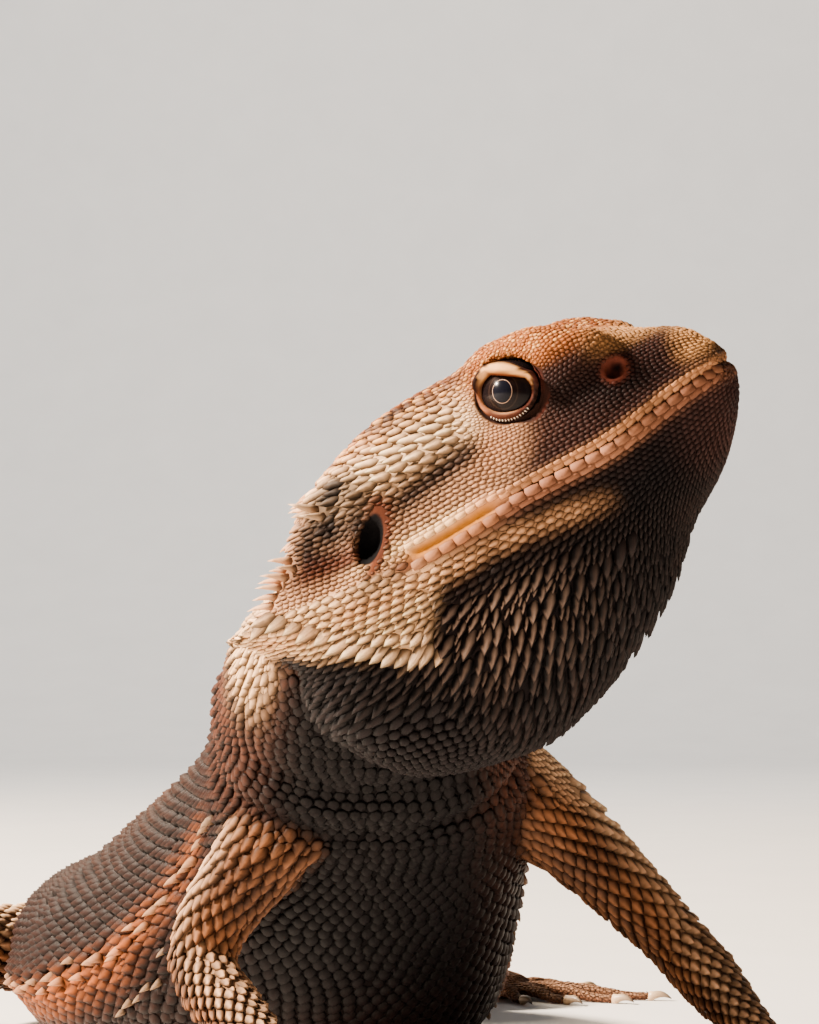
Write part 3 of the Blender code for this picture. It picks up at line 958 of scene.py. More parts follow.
def countAlong(where, good, sizes):
    # how many scales of these sizes there is room for, from a row's start to each of its places
    moves = np.linalg.norm(np.diff(where, axis=0), axis=1) / mm
    moves[~(good[1:] & good[:-1])] = 0
    return np.concatenate([[0], np.cumsum(moves / ((sizes[1:] + sizes[:-1]) / 2))])


def rowMeasures(where):
    # the size of the scales along a row, and their height and length with the lie turned into the row
    member = np.full(len(where), headNumber)
    size, stretch = sizeAt(where, member), stretchAt(where, member)
    down = downAt(toHead(where))
    steep = down**2 / (1 + down**2)
    alongRow = np.sqrt(stretch**2 * (1 - steep) + steep)
    acrossRow = np.sqrt(1 - steep + stretch**2 * steep)
    pack = np.sqrt(headRows["packed"] * stretch / (alongRow * acrossRow))
    return size, size * acrossRow * pack, size * alongRow * pack


def growHeadSide(sign, upward):
    backs, grid = headGrid(sign, upward)
    steps = np.linalg.norm(np.diff(grid, axis=1), axis=2) / mm
    starts = np.zeros((len(backs), 1))
    arcs = np.concatenate([starts, np.cumsum(np.nan_to_num(steps, nan=50), axis=1)], axis=1)
    corner = ramp(backs, 25, 28) * fade(backs, 37.5, 39.5)
    depth = headRows["upperFirst" if upward else "lowerFirst"] + headRows["cornerDrop"] * corner
    special = headRows["upper" if upward else "lower"]
    rest = []
    for row in range(headRows["most"]):
        line = np.array([onLine(depth[i:i + 1], arcs[i], grid[i])[0] for i in range(len(backs))])
        good = (depth < arcs[:, -1]) & ~np.isnan(line).any(1)
        if good.sum() < 3:
            break
        where = np.where(good[:, None], np.nan_to_num(line), 0)
        size, tall, length = rowMeasures(where)
        isTile = row < len(special)
        if isTile:
            plain = ramp(backs, 36, 44)
            tall = special[row][0] * (1 - plain) + tall * plain
            length = special[row][1] * (1 - plain) + length * plain
            length = length * (0.75 + 0.25 * ramp(backs, 0, 6))
        count = countAlong(where, good, length)
        marks = np.arange(0.5 if row % 2 else 0.0, count[-1], 1.0)
        if len(marks):
            if not isTile:
                marks = marks + rng.uniform(-headRows["wobble"], headRows["wobble"], len(marks))
            numbers = np.arange(len(backs))
            at = np.interp(marks, count, numbers)
            spots, near = onLine(at, numbers, where), np.round(at).astype(int)
            spots, near = spots[good[near]], near[good[near]]
            places, faces, gaps = nearestOnSkin(spots)
            free = (gaps < 0.6 * mm) & isFree(places)
            places, faces, near = places[free], faces[free], near[free]
            if isTile:
                labial = backs[near] < headRows["tilesEnd"]
                long = (length / tall)[near][labial]
                coat.add(places[labial], faces[labial], tall[near][labial], 0, form=tileForm, long=long)
                places, faces, near = places[~labial], faces[~labial], near[~labial]
            if len(places):
                rest.append((places, faces, size[near]))
        depth = depth + tall / 2 + (special[row + 1][0] / 2 if row + 1 < len(special) else tall / 2)
    coat.add(*(np.concatenate(column) for column in zip(*rest)), headRows["apart"])


rings = {"step": 0.82, "turns": 49, "smooth": 4, "ahead": 3, "bodyReach": 60, "limbReach": 14, "apart": 0.7}


def ringHits(name, centre, top, aside, reach):
    # rays from the top of a ring round to the belly, each with its hit and triangle, or nothing
    hits = []
    for turn in np.radians(np.linspace(0, 180, rings["turns"])):
        way = top * math.cos(turn) + aside * math.sin(turn)
        hit, _, face, _ = skinTree.ray_cast(centre.tolist(), way.tolist(), reach * mm)
        isOwn = hit is not None and pointMember[triangles[face][0]] == members.index(name)
        hits.append((*hit, face) if isOwn else (np.nan,) * 4)
    return np.array(hits)


def growRings(name):
    # rows of scales round a member, each set half a scale over from the one before
    line = lines[name]
    gaps = lengthsOf(line)
    reach = rings["bodyReach" if name == "body" else "limbReach"]
    spread = np.linspace(-rings["smooth"], rings["smooth"], 5) * mm

    def centreAt(place):
        return np.array([np.mean(np.interp(place + spread, gaps, line[:, axis])) for axis in range(3)])

    at, row = 0.0, 0
    found = []
    while at < gaps[-1]:
        ahead = unit(centreAt(at + rings["ahead"] * mm) - centreAt(at - rings["ahead"] * mm))
        side = unit(np.cross(ahead, [0, 0, 1]))
        top = np.cross(side, ahead)
        sizeHere = scaleSizes["usual"] * mm
        for sign in (1, -1):
            hits = ringHits(name, centreAt(at), top, side * sign, reach)
            good = ~np.isnan(hits).any(1)
            if good.sum() < 2:
                continue
            ring = hits[:, :3]
            corner = triangles[np.nan_to_num(hits[:, 3]).astype(int), 0]
            sizes = np.where(good, pointSize[corner], scaleSizes["usual"])
            if sign == 1 and good[0]:
                sizeHere = sizes[0] * mm
            count = countAlong(np.nan_to_num(ring), good, sizes)
            first = 0.5 if row % 2 else (0.0 if sign == 1 else 1.0)
            for mark in np.arange(first, count[-1], 1.0):
                n = min(int(np.searchsorted(count, mark, side="right")) - 1, len(hits) - 2)
                if good[n] and good[n + 1]:
                    share = (mark - count[n]) / max(count[n + 1] - count[n], 1e-9)
                    found.append(ring[n] * (1 - share) + ring[n + 1] * share)
        at += sizeHere * rings["step"]
        row += 1
    places, faces, _ = nearestOnSkin(np.array(found))
    return coat.add(places, faces, pointSize[triangles[faces, 0]], rings["apart"])


scatter = {"tries": 4, "apart": 0.76, "shares": (1.0, 0.6)}


def fillGaps(share):
    # the rest of the skin, scattered; the share is of the usual size
    a, b, c = (skinPoints[triangles[:, n]] for n in range(3))
    area = np.linalg.norm(np.cross(b - a, c - a), axis=1) / 2 / mm**2
    corner = triangles[:, 0]
    wanted = area / (share * pointSize[corner]) ** 2 * scatter["tries"] / pointStretch[corner]
    number = np.floor(wanted + rng.random(len(wanted))).astype(int)
    faces = np.repeat(np.arange(len(triangles)), number)
    shares = np.sort(rng.random((len(faces), 2)), axis=1)
    first, second = shares[:, :1], shares[:, 1:]
    places = a[faces] * first + b[faces] * (second - first) + c[faces] * (1 - second)
    order = rng.permutation(len(faces))
    places, faces = places[order], faces[order]
    free = isFree(places) & ~onLips(places)
    places, faces = places[free], faces[free]
    return coat.add(places, faces, share * pointSize[triangles[faces, 0]], scatter["apart"])


spineRows = {
    # form, width, length over width, lean, how many and paleness, then places on the left half of the head
    "jaw": (leafForm, 1.55, 1.9, 64, 9, 0.75,
            [(21.5, 49.5, -8), (21.8, 46.5, -10.4), (21.6, 43.5, -13), (21, 39.5, -15.4)]),
    "jawHigh": (leafForm, 1.3, 1.7, 68, 10, 0.45,
                [(21.6, 52, -5.4), (21.9, 47.5, -8.2), (21.8, 43.5, -10.4), (21.4, 39.5, -12.4)]),
    "jawFront": (leafForm, 1.75, 1.75, 76, 13, 0.0,
                 [(21, 38.5, -14.6), (19.6, 31, -16.6), (16.6, 23, -16.8), (13, 15, -15.6)]),
    "jawFrontHigh": (leafForm, 1.5, 1.7, 77, 10, 0.0,
                     [(21.3, 36.5, -11.6), (19.9, 29, -13.2), (17, 21, -13.2)]),
    "jawBack": (leafForm, 1.4, 1.9, 50, 6, 0.6, [(20.5, 57.5, 0.3), (21.3, 54, -3.5), (21.5, 51, -6.5)]),
    "angle": (spineForm, 1.25, 2.4, 34, 5, 0.5, [(20.5, 57, 2.0), (20, 54, 2.8), (19.5, 51, 3.4)]),
    "angleHigh": (spineForm, 1.15, 2.2, 34, 3, 0.35, [(19.6, 55, 4.6), (19, 52, 5.4)]),
    "aboveEar": (spineForm, 1.5, 2.3, 12, 2, 0.9, [(18.2, 46.8, 7.2), (17.0, 48, 9.5)]),
    "occiput": (spineForm, 1.4, 1.7, 42, 6, 0.5,
                [(16, 49, 9.8), (12.5, 50.5, 11.2), (7.5, 51, 12.2), (3, 50.5, 12.5)]),
}
napeSpikes = {
    "number": 110,
    "left": (12, 23),
    "back": (52.5, 60),
    "up": (-3, 9),
    "wide": 1.35,
    "long": 1.7,
    "lean": 38,
    "apart": 2.1,
    "pale": 0.45,
}
fringe = {
    "from": 50, "to": 178, "step": 3.4, "wide": 1.8, "long": 1.8, "lean": 58, "angles": [-6, -24],
    "pale": 0.35,
}


def growSpines():
    for form, wide, long, lean, count, pale, knotSpots in spineRows.values():
        knotSpots = np.array(knotSpots, float)
        gaps = lengthsOf(knotSpots)
        spots = onLine(np.linspace(0, gaps[-1], count), gaps, knotSpots)
        for sign in (1, -1):
            places, faces, _ = nearestOnSkin(fromHead(spots * [sign, 1, 1]))
            sizes = wide * rng.uniform(0.85, 1.1, len(places))
            longs = long * rng.uniform(0.85, 1.15, len(places))
            coat.add(places, faces, sizes, 0, form=form, long=longs, lean=lean, pale=pale)


def growNapeSpikes():
    # a loose cluster of short spines behind the jaw and the ear
    count = napeSpikes["number"]
    spots = np.stack([rng.uniform(*napeSpikes[axis], count) for axis in ("left", "back", "up")], 1)
    spots[:, 0] *= rng.choice([-1, 1], count)
    places, faces, gaps = nearestOnSkin(fromHead(spots))
    near = gaps < 5 * mm
    places, faces = places[near], faces[near]
    sizes = napeSpikes["wide"] * rng.uniform(0.75, 1.1, len(places))
    looks = {key: napeSpikes[key] for key in ("long", "lean", "pale")}
    coat.add(places, faces, sizes, napeSpikes["apart"], form=spineForm, **looks)


def growFringe():
    # two rows of spines along each flank, from armpit to groin
    line = lines["body"]
    gaps = lengthsOf(line) / mm
    looks = {key: fringe[key] for key in ("long", "lean", "pale")}
    for row, angle in enumerate(fringe["angles"]):
        for sign in (1, -1):
            spots = []
            first = fringe["from"] + row * fringe["step"] / 2
            for centre in onLine(np.arange(first, fringe["to"], fringe["step"]), gaps, line).tolist():
                turn = math.radians(angle + rng.uniform(-3, 3))
                way = (sign * math.cos(turn), 0, math.sin(turn))
                hit, _, face, _ = skinTree.ray_cast(centre, way, headRows["rayLong"] * mm)
                if hit is not None and pointMember[triangles[face][0]] == bodyNumber:
                    spots.append(tuple(hit))
            places, faces, _ = nearestOnSkin(np.array(spots))
            sizes = fringe["wide"] * (1 - 0.25 * row) * rng.uniform(0.8, 1.1, len(places))
            coat.add(places, faces, sizes, 0, form=spineForm, **looks)


growSpines()
growNapeSpikes()
growFringe()
print("spines:", len(coat.roots))
for sign in (1, -1):
    for upward in (True, False):
        growHeadSide(sign, upward)
print("head scales:", len(coat.roots))
for name in ("body", *limbNames):
    print(name, "scales:", growRings(name))
for share in scatter["shares"]:
    print("scattered scales:", fillGaps(share))
print("all scales:", len(coat.roots))

# the animal's markings with painted shade and painted light among them, the same for skin and coat, in tones
# of 0 to 255

tones = {
    "crown": (122, 64, 28),
    "crownSpots": (46, 20, 12),
    "brow": (184, 108, 56),
    "snout": (244, 174, 106),
    "lore": (26, 13, 12),
    "nostril": (84, 40, 30),
    "cheek": (182, 132, 98),
    "underEye": (196, 136, 98),
    "temple": (255, 208, 162),
    "templeDark": (38, 25, 23),
    "upperLip": (196, 136, 92),
    "aboveLip": (56, 33, 28),
    "lowerLip": (158, 106, 78),
    "lowerLipDull": (128, 82, 60),
    "mouthCorner": (166, 102, 6),
    "cornerRidge": (236, 188, 138),
    "darkBand": (30, 19, 19),
    "paleBand": (240, 176, 126),
    "jaw": (255, 202, 152),
    "chin": (66, 43, 40),
    "beard": (22, 16, 18),
    "beardWarm": (34, 21, 19),
    "pouch": (20, 14, 16),
    "ear": (26, 15, 13),
    "earRim": (88, 44, 26),
    "hole": (4, 3, 4),
    "neck": (252, 200, 150),
    "neckLow": (70, 38, 25),
    "back": (36, 18, 11),
    "backPale": (124, 72, 40),
    "backDark": (28, 15, 12),
    "flank": (31, 15, 11),
    "fringe": (140, 72, 28),
    "belly": (104, 72, 54),
    "chestShade": (13, 9, 11),
    "limb": (122, 76, 46),
    "limbLitTop": (236, 186, 144),
    "limbDark": (46, 26, 20),
    "paw": (116, 74, 54),
}
tones = linearTones(tones)
earPatch = {"back": 45, "up": 2.7, "turn": (0.52, 0.855), "wide": 6.5, "high": 5}
jawLine = [(36, -16), (39.5, -15.6), (43.5, -13.4), (46.5, -11), (49.5, -9.2), (54, -7.5), (58, -5)]
bandLong = {"body": 15.5, "tail": 11.5, "limb": 8.5}


def painted(ground, marks):
    # marks laid over a ground tone one after the other, each as far as its share says
    colour = np.tile(tones[ground], (len(marks[0][1]), 1))
    for name, share in marks:
        colour = blend(colour, tones[name], np.clip(share, 0, 1))
    return colour


def headColour(points):
    left, back, up = headPlace(points)
    lip = up - mouthHeight(back)
    patches, small = softNoise(points, 5, 1), softNoise(points, 2.2, 2)
    loreUp = 0.6 + 0.36 * (back - 6)
    fromEar, overEar = back - earPatch["back"], up - earPatch["up"]
    short, long = earPatch["turn"]
    earNear = np.hypot((fromEar * short - overEar * long) / earPatch["wide"],
                       (fromEar * long + overEar * short) / earPatch["high"])
    across, height = earSpot(points)
    above = painted("cheek", [
        # the front of the face, and the strip over the upper lip, in a dark brown: their own tone deepened by
        # painted shade
        ("aboveLip", fade(back + 0.3 * up, 20, 24.5)),
        ("crown", ramp(up, 7.5, 9.5)),
        ("brow", ramp(up, 8, 10) * ramp(back, 32, 38)),
        ("crownSpots", bell(left - 8, 2.4) * ramp(up, 9, 11) * ramp(back, 23, 26) * ramp(small, -0.25, 0.05)),
        ("crownSpots", ramp(up, 8, 10) * ramp(patches, 0.35, 0.7) * 0.35),
        ("snout", ramp(up, 5, 8) * fade(back, 6, 13)),
        ("brow", bell(left - 10.5, 3.5) * bell(back - 18.5, 8) * ramp(up, 7.5, 10)),
        ("snout", fade(back, 1, 5) * ramp(lip, 0.8, 2)),
        # painted shade below the canthus, over the lore's own dark brown
        ("lore", bell(up - loreUp, 2.7) * ramp(back, 3, 6) * fade(back, 15, 21) * ramp(left, 3, 5) * 0.95),
        ("nostril", fade(nostrilGap(back, up), 1.3, 1.9) * ramp(left, 3.5, 6)),
        ("underEye", bell(back - 26, 4) * bell(up - 3.4, 2.6) * 0.85),
        ("temple", bell(up - 7.4, 3.1) * ramp(back, 24, 27) * fade(back, 46, 50) * ramp(left, 7, 11)),
        ("templeDark", bell(up - 3.6 + 0.12 * (back - 30), 1.7) * ramp(back, 24.5, 27.5)
         * fade(back, 36, 40)),
        ("aboveLip", fade(lip, 1.6, 3.4) * fade(back, 20, 28) * 0.8),
        ("upperLip", ramp(lip, -0.3, 0.1) * fade(lip, 0.9, 1.2) * fade(back, 36, 44) * (0.85 + 0.5 * small)),
        ("cornerRidge", bell(lip - 1.3, 0.9) * ramp(back, 28, 33) * fade(back, 42, 48)),
        ("ear", fade(earNear, 0.85, 1.3) * ramp(lip, 1.2, 2.6) * (left > 12) * (0.9 + 0.3 * small)),
        ("earRim", fade(np.hypot(across, height), 1.5, 2.1) * ramp(height * 0.5 - across, -0.6, 0.3)),
        ("earRim", bell(lip - 2.6, 1.4) * ramp(back, 39, 42) * fade(back, 50, 54) * 0.8),
    ])
    spineUp = knots(back, jawLine)
    jawStart = 33 + 0.95 * np.maximum(-up - 5, 0)
    onward = np.maximum(29 - back, 0)
    lowerLip = fade(-lip, 1.5, 1.9) * fade(back, 39, 44)
    lipPale = np.maximum(bell(back - 14, 5), bell(back - 32, 6) * 0.4)
    # the chin, the beard and the pouch in their own dark tones, deepened by painted shade
    under = painted("beard", [
        ("chin", fade(back, 3, 11) * fade(-lip, 7, 13)),
        ("jaw", ramp(back, jawStart, jawStart + 4) * ramp(up - spineUp, -1.0, 0.6)),
        ("beardWarm", ramp(patches, 0.0, 0.7) * 0.6),
        ("paleBand", bell(lip + 3.3 + 0.16 * onward, 1.1) * ramp(back, 15, 21) * (0.8 + 0.5 * small)),
        ("darkBand", bell(lip + 2.2 + 0.08 * onward, 0.8) * ramp(back, 7, 11) * fade(back, 27, 33)),
        ("lowerLipDull", lowerLip),
        ("lowerLip", lowerLip * lipPale * (0.8 + 0.5 * small)),
        ("pouch", ramp(spineUp - up, 0, 1.5) * ramp(back, 39, 42)),
        ("hole", bell(back - 0.5, 1.3) * bell(lip + 4.6, 1.3) * 0.7),
    ])
    colour = blend(above, under, ramp(-lip, 0.1, 0.5))
    corner = bell(lip, 0.75) * ramp(back, 26, 29) * fade(back, 37, 39.5) * (left > 10)
    return blend(colour, tones["mouthCorner"], corner)


def bodyColour(points):
    direction, along = lineDirection(points, "body")
    middle = onLine(along, lengthsOf(lines["body"]) / mm, lines["body"])
    rel = unit(points - middle)
    dorsal = unit(np.array([0, 0, 1]) - direction * direction[:, 2:])
    top = (rel * dorsal).sum(1)  # 1 along the spine, -1 along the belly
    patches, small = softNoise(points, 9, 3), softNoise(points, 3.5, 4)
    blotch = bell(np.sin(along / bandLong["body"] * math.pi), 0.5)
    blotch = blotch * bell(np.abs(rel[:, 0]) - 0.5, 0.24) * ramp(top, 0.2, 0.5)
    # the back and the flanks in their own dark brown, deepened by painted shade
    trunk = painted("back", [
        ("backDark", ramp(patches, 0.1, 0.7) * 0.7),
        ("backPale", blotch * ramp(along, 45, 60) * fade(along, 175, 195) * (0.8 + 0.4 * small)),
        ("flank", fade(top, 0.1, 0.4) * 0.8),
        ("belly", fade(top, -0.85, -0.6) * ramp(along, 80, 110)),
        # painted shade: the chest nearly black
        ("chestShade", fade(along, 60, 95) * fade(top, -0.85, -0.45)),
        ("neckLow", fade(along, 30, 48) * ramp(top, -0.75, -0.4)),
        ("neck", fade(along, 12, 21) * ramp(top, -0.6, -0.3) * (0.85 + 0.3 * patches)),
        ("fringe", bell(top + 0.18, 0.07) * ramp(along, 48, 58) * fade(along, 172, 185)),
    ])
    bands = ramp(np.sin((along - 200) / bandLong["tail"] * math.pi) + 0.35 * patches, -0.3, 0.4)
    tail = painted("backDark", [("backPale", bands * 0.85), ("belly", fade(top, -0.7, -0.2) * 0.6)])
    return blend(trunk, tail, ramp(along, 185, 200))


def limbColour(points, normals, name):
    along = lineDirection(points, name)[1]
    patches = softNoise(points, 6, 5)
    bands = ramp(np.sin(along / bandLong["limb"] * math.pi) + 0.5 * patches, -0.1, 0.6)
    return painted("limb", [
        ("limbDark", bands * 0.5),
        # painted light: the upward faces of the limbs paler, most near the shoulders and hips
        ("limbLitTop", ramp(normals[:, 2], -0.1, 0.6) * (0.95 - 0.45 * ramp(along, 18, 36))),
        ("belly", fade(normals[:, 2], -0.7, -0.3) * 0.6),
        ("paw", pawShare(points) * 0.6),
    ])


def markingsAndPaintedLight(points, normals, member):
    def toneOn(name, chosen):
        if name == "head":
            return headColour(points[chosen])
        if name == "body":
            return bodyColour(points[chosen])
        return limbColour(points[chosen], normals[chosen], name)

    return byMember(member, 3, toneOn)


pointColour = smoothed(markingsAndPaintedLight(skinPoints, broadNormals, pointMember), skinEdges, 3)
left, back, up = headPlace(skinPoints)
gape, rim = np.abs(up - mouthHeight(back)), nostrilGap(back, up)
isHole = (rim < nostril["hole"] + 0.05) & (left > 3)
isHole |= inEar(skinPoints, 1.02)
isHole |= (gape < 0.18) & (back < 27) & pointsOnHead(skinPoints)
inCorner = (back > 25) & (gape < 1.2) & (left > 10)
holeShade = (isHole & ~inCorner) * 1.0
isBare = inCorner | (rim < nostril["bare"] + 0.3) & (left > 3)
skinColour = np.where(isBare[:, None], pointColour, pointColour * 0.5)  # painted shade: the skin darker between the scales
# painted shade: the ear, the nostrils and the mouth's slit nearly black inside
skinColour = blend(skinColour, tones["hole"], smoothed(holeShade[:, None], skinEdges, 2)[:, 0])

eyeTones = {
    "hood": (216, 158, 98),
    "hoodEdgeShade": (92, 44, 22),
    "lower": (66, 34, 22),
    "lowerRear": (132, 78, 50),
    "edge": (160, 112, 78),
    "front": (60, 26, 18),
    "rear": (64, 34, 24),
    "crease": (34, 18, 14),
    "fold": (74, 34, 26),
}
eyeTones = linearTones(eyeTones)


def paintLids(colour, side):
    along, off, turn = eyePolar(skinPoints, side)
    opening, outer = lidReach(turn)
    across = (off - opening) / (outer - opening)
    rise, behind = np.sin(turn), np.cos(turn)
    above = ramp(rise, 0.0, 0.3)
    front = ramp(-behind, 0.45, 0.8) * fade(rise, 0.25, 0.5)
    lid = blend(eyeTones["lower"], eyeTones["hood"], above)
    shares = {
        # painted shade along the upper lid's inner edge, at the top of the opening
        "hoodEdgeShade": above * fade(across, 0.12, 0.42),
        "lowerRear": ramp(behind, 0.55, 0.85) * (1 - above),
        "front": front * (0.75 + 0.25 * np.sin(turn * lids["wrinkles"])),
        "edge": bell(across - 0.04, 0.12) * (1 - above) * (1 - front),
        "rear": ramp(behind, 0.7, 0.88) * bell(rise - 0.2, 0.3) * 0.85,
        # painted shade in the crease round the lids and in the front hollow
        "crease": np.maximum(ramp(across, 0.9, 1.04), front * ramp(across, 0.5, 0.8)),
    }
    for name, share in shares.items():
        lid = blend(lid, eyeTones[name], np.clip(share, 0, 1))
    for fold in eye["frontFolds"]:
        lid = blend(lid, eyeTones["fold"], frontFold(off, outer, turn, fold, 0.26, spread=0.8))
    reach = outer + orbitWide(turn) - 0.15
    return blend(colour, lid, fade(off, reach, reach + 0.25) * (along > 0.5))


for side in pair:
    skinColour = paintLids(skinColour, side)
setTint(skin, skinColour)

# every scale's own shape: points in half widths, half lengths and heights


def ringOf(x, y, high):
    return np.stack([x, y, np.full(len(x), high)], 1)


def pointedFaces(rows, around):
    # rings of points joined, with a tip over the last ring and a floor under the first
    last, tip = (rows - 1) * around, rows * around
    tipFaces = [(last + n, last + (n + 1) % around, tip) for n in range(around)]
    return tubeFaces(rows, around) + tipFaces + [tuple(range(around - 1, -1, -1))]


eighth = np.arange(8) * math.pi / 4
x, y = np.cos(eighth), np.sin(eighth)
bead = np.concatenate([ringOf(x, y, -0.3), ringOf(0.7 * x, 0.7 * y, 0.66), [(0, 0, 1)]])
leaf = np.array([
    (1, -0.15, -0.3), (0.7, 0.62, -0.2), (0, 1.3, 0.25), (-0.7, 0.62, -0.2),
    (-1, -0.15, -0.3), (-0.75, -0.75, -0.3), (0, -1, -0.3), (0.75, -0.75, -0.3),
    (0.52, -0.1, 0.42), (0.36, 0.45, 0.5), (0, 0.98, 1.0), (-0.36, 0.45, 0.5),
    (-0.52, -0.1, 0.42), (-0.4, -0.52, 0.3), (0, -0.72, 0.5), (0.4, -0.52, 0.3),
    (0, 0.25, 1.1),
])
x, y = (np.sign(np.round(part, 6)) * np.abs(part) ** 0.4 for part in (x, y))
tile = np.concatenate([ringOf(x, y, -0.3), ringOf(x * 0.82, y * 0.88, 0.8), [(0, 0, 1)]])
sixth = [n * math.pi / 3 for n in range(6)]
spineRings = [(-0.12, 1.0), (0.3, 0.72), (0.68, 0.36)]  # height in lengths and half width
spine = [(wide * math.cos(turn), wide * math.sin(turn), rise) for rise, wide in spineRings for turn in sixth]
spine = np.array(spine + [(0, 0, 1)])
capFaces, spineFaces = pointedFaces(2, 8), pointedFaces(3, 6)

editWhole(skin, bpy.ops.uv.smart_project, angle_limit=math.radians(66), island_margin=0.002)
skin.data.uv_layers[0].name = "OFBake"
print("skin unwrapped")
loopSpots = readAll(skin.data.uv_layers["OFBake"].uv, "vector", 2, np.float32)
skin.data.calc_loop_triangles()
triangleSpots = loopSpots[readAll(skin.data.loop_triangles, "loops", 3, np.int32)]

scales = coat.all()
place, face = scales["place"], scales["face"].astype(int)
shares = skinShares(place, face)
member = pointMember[triangles[face, shares.argmax(1)]]
onHead, onBody = member == headNumber, member == bodyNumber
isTile, isSpine, isLeaf = (scales["form"] == form for form in (tileForm, spineForm, leafForm))
broadNormal = atSkin(broadNormals, place, face)
normal = unit(np.where(onHead[:, None], atSkin(skinNormals, place, face), broadNormal))
normal[isTile] = unit(normal[isTile] + 1.5 * broadNormal[isTile])
lie = tangent(atSkin(pointLie, place, face), normal)
spot = (triangleSpots[face] * shares[:, :, None]).sum(1)
colour = atSkin(pointColour, place, face)
count = len(place)
left, back, up = headPlace(place)
lip = up - mouthHeight(back)
along = lineDirection(place, "body")[1]

bodyScale = {"keel": 0.9, "long": 1.25, "lift": 13.0, "high": 0.26, "wide": 0.56}
leafScale = {"keel": 1.0, "high": 0.34, "wide": 0.58}
tileScale = {"halfWide": 0.52, "halfLong": 0.5, "longer": 1.05, "high": 0.18, "light": 1.05}
patchWide = 0.0013  # half width of a scale's patch on the unwrap

# how pointed (keel), long, raised (lift) and high each scale is
throat = ramp(-lip, 3, 9) * onHead
sides = ramp(-lip, 1, 4) * ramp(back, 28, 38) * onHead
hang = np.maximum(throat, sides)
pouch = ramp(-lip, 14, 17) * ramp(back, 42, 46) * onHead
temple = bell(up - 7, 3) * ramp(back, 25, 29) * onHead
belly = onBody * ramp(-normal[:, 2], 0.2, 0.6)
paws = pawShare(place)
keel = np.where(onHead, 0.25 + 0.3 * ramp(back, 20, 34) + 0.5 * temple, bodyScale["keel"])
keel = np.maximum(keel, hang) * (1 - 0.85 * pouch) * (1 - 0.8 * belly) * (1 - 0.6 * paws)
headLong = atSkin(pointStretch[:, None], place, face)[:, 0] * (0.94 + 0.1 * hang * (1 - pouch))
long = np.where(onHead, headLong, bodyScale["long"])
headLift = 4 + 6 * ramp(back, 18, 34) + 10 * hang * (1 - pouch) + 5 * temple
lift = np.where(onHead, headLift, bodyScale["lift"]) * (1 - 0.7 * belly) * (1 - 0.5 * paws)
high = np.where(onHead, 0.27 + 0.05 * temple + 0.12 * pouch, bodyScale["high"]) * (1 - 0.35 * belly)
keel = np.clip(keel + rng.uniform(-0.1, 0.1, count), 0, 1)
high *= rng.uniform(0.85, 1.15, count)
lift += rng.uniform(-2, 2, count)
wide = np.where(onHead, 0.57, bodyScale["wide"]) * rng.uniform(0.96, 1.06, count)
keel[isLeaf], high[isLeaf], wide[isLeaf] = leafScale["keel"], leafScale["high"], leafScale["wide"]
long[isLeaf] = scales["long"][isLeaf]
lift[isLeaf] = 90 - scales["lean"][isLeaf]
turn = rng.normal(0, 0.06, count)[:, None]
lie = lie * np.cos(turn) + np.cross(normal, lie) * np.sin(turn)
slope = (mouthHeight(back + 0.5) - mouthHeight(back - 0.5))[isTile]
lie[isTile] = tangent(np.stack([slope * 0, slope * 0 + 1, slope], 1) @ headTurn.T, normal[isTile])
flecks = onHead * ramp(up, 8.5, 10.5) * (rng.random(count) < 0.3)  # pale scales among the crown's
# painted highlight along the keels of the scales below the mouth, strongest on the jaw's side
keelHighlight = 0.012 + 0.5 * bell(back - 33, 7) * bell(up + 13.5, 5.5)
keelHighlight = onHead * ramp(-lip, 6, 9) * keelHighlight * (1 - pouch)
thornTone, keelHighlightTone, beadTone = (linear(tone) for tone in ((236, 192, 152), (190, 156, 136), (244, 226, 204)))


def inPlace(places, right, ahead, above, x, y, z):
    # the points of every form, laid out along its own three directions
    spread = x[..., None] * right[:, None] + y[..., None] * ahead[:, None] + z[..., None] * above[:, None]
    return places[:, None] + spread * mm


def buildCoat(name, points, faces, tint, spots, patches):
    # one joined mesh of all these scales, each closed, with its tint and its patch of the coat's unwrap
    number, each = points.shape[:2]
    starts = (np.arange(number) * each)[:, None]
    corners = (starts + np.concatenate([np.array(one) for one in faces])[None]).ravel()
    sizes = np.tile([len(one) for one in faces], number)
    flat = points.reshape(-1, 3).copy()
    flat[:, 2] = np.maximum(flat[:, 2], 0)
    piece = meshFrom(name, flat, sizes, corners)
    setTint(piece, np.clip(tint.reshape(-1, 3), 0, 1))
    layer = piece.data.uv_layers.new(name="OFBake")
    spread = (spots[:, None] + patches * patchWide).reshape(-1, 2)
    layer.uv.foreach_set("vector", spread[corners].astype(np.float32).ravel())
    piece.data.polygons.foreach_set("use_smooth", np.ones(len(sizes), bool))
    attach(piece, "root")
    print(name, number, "scales,", number * sum(len(one) - 2 for one in faces), "triangles")
    return piece


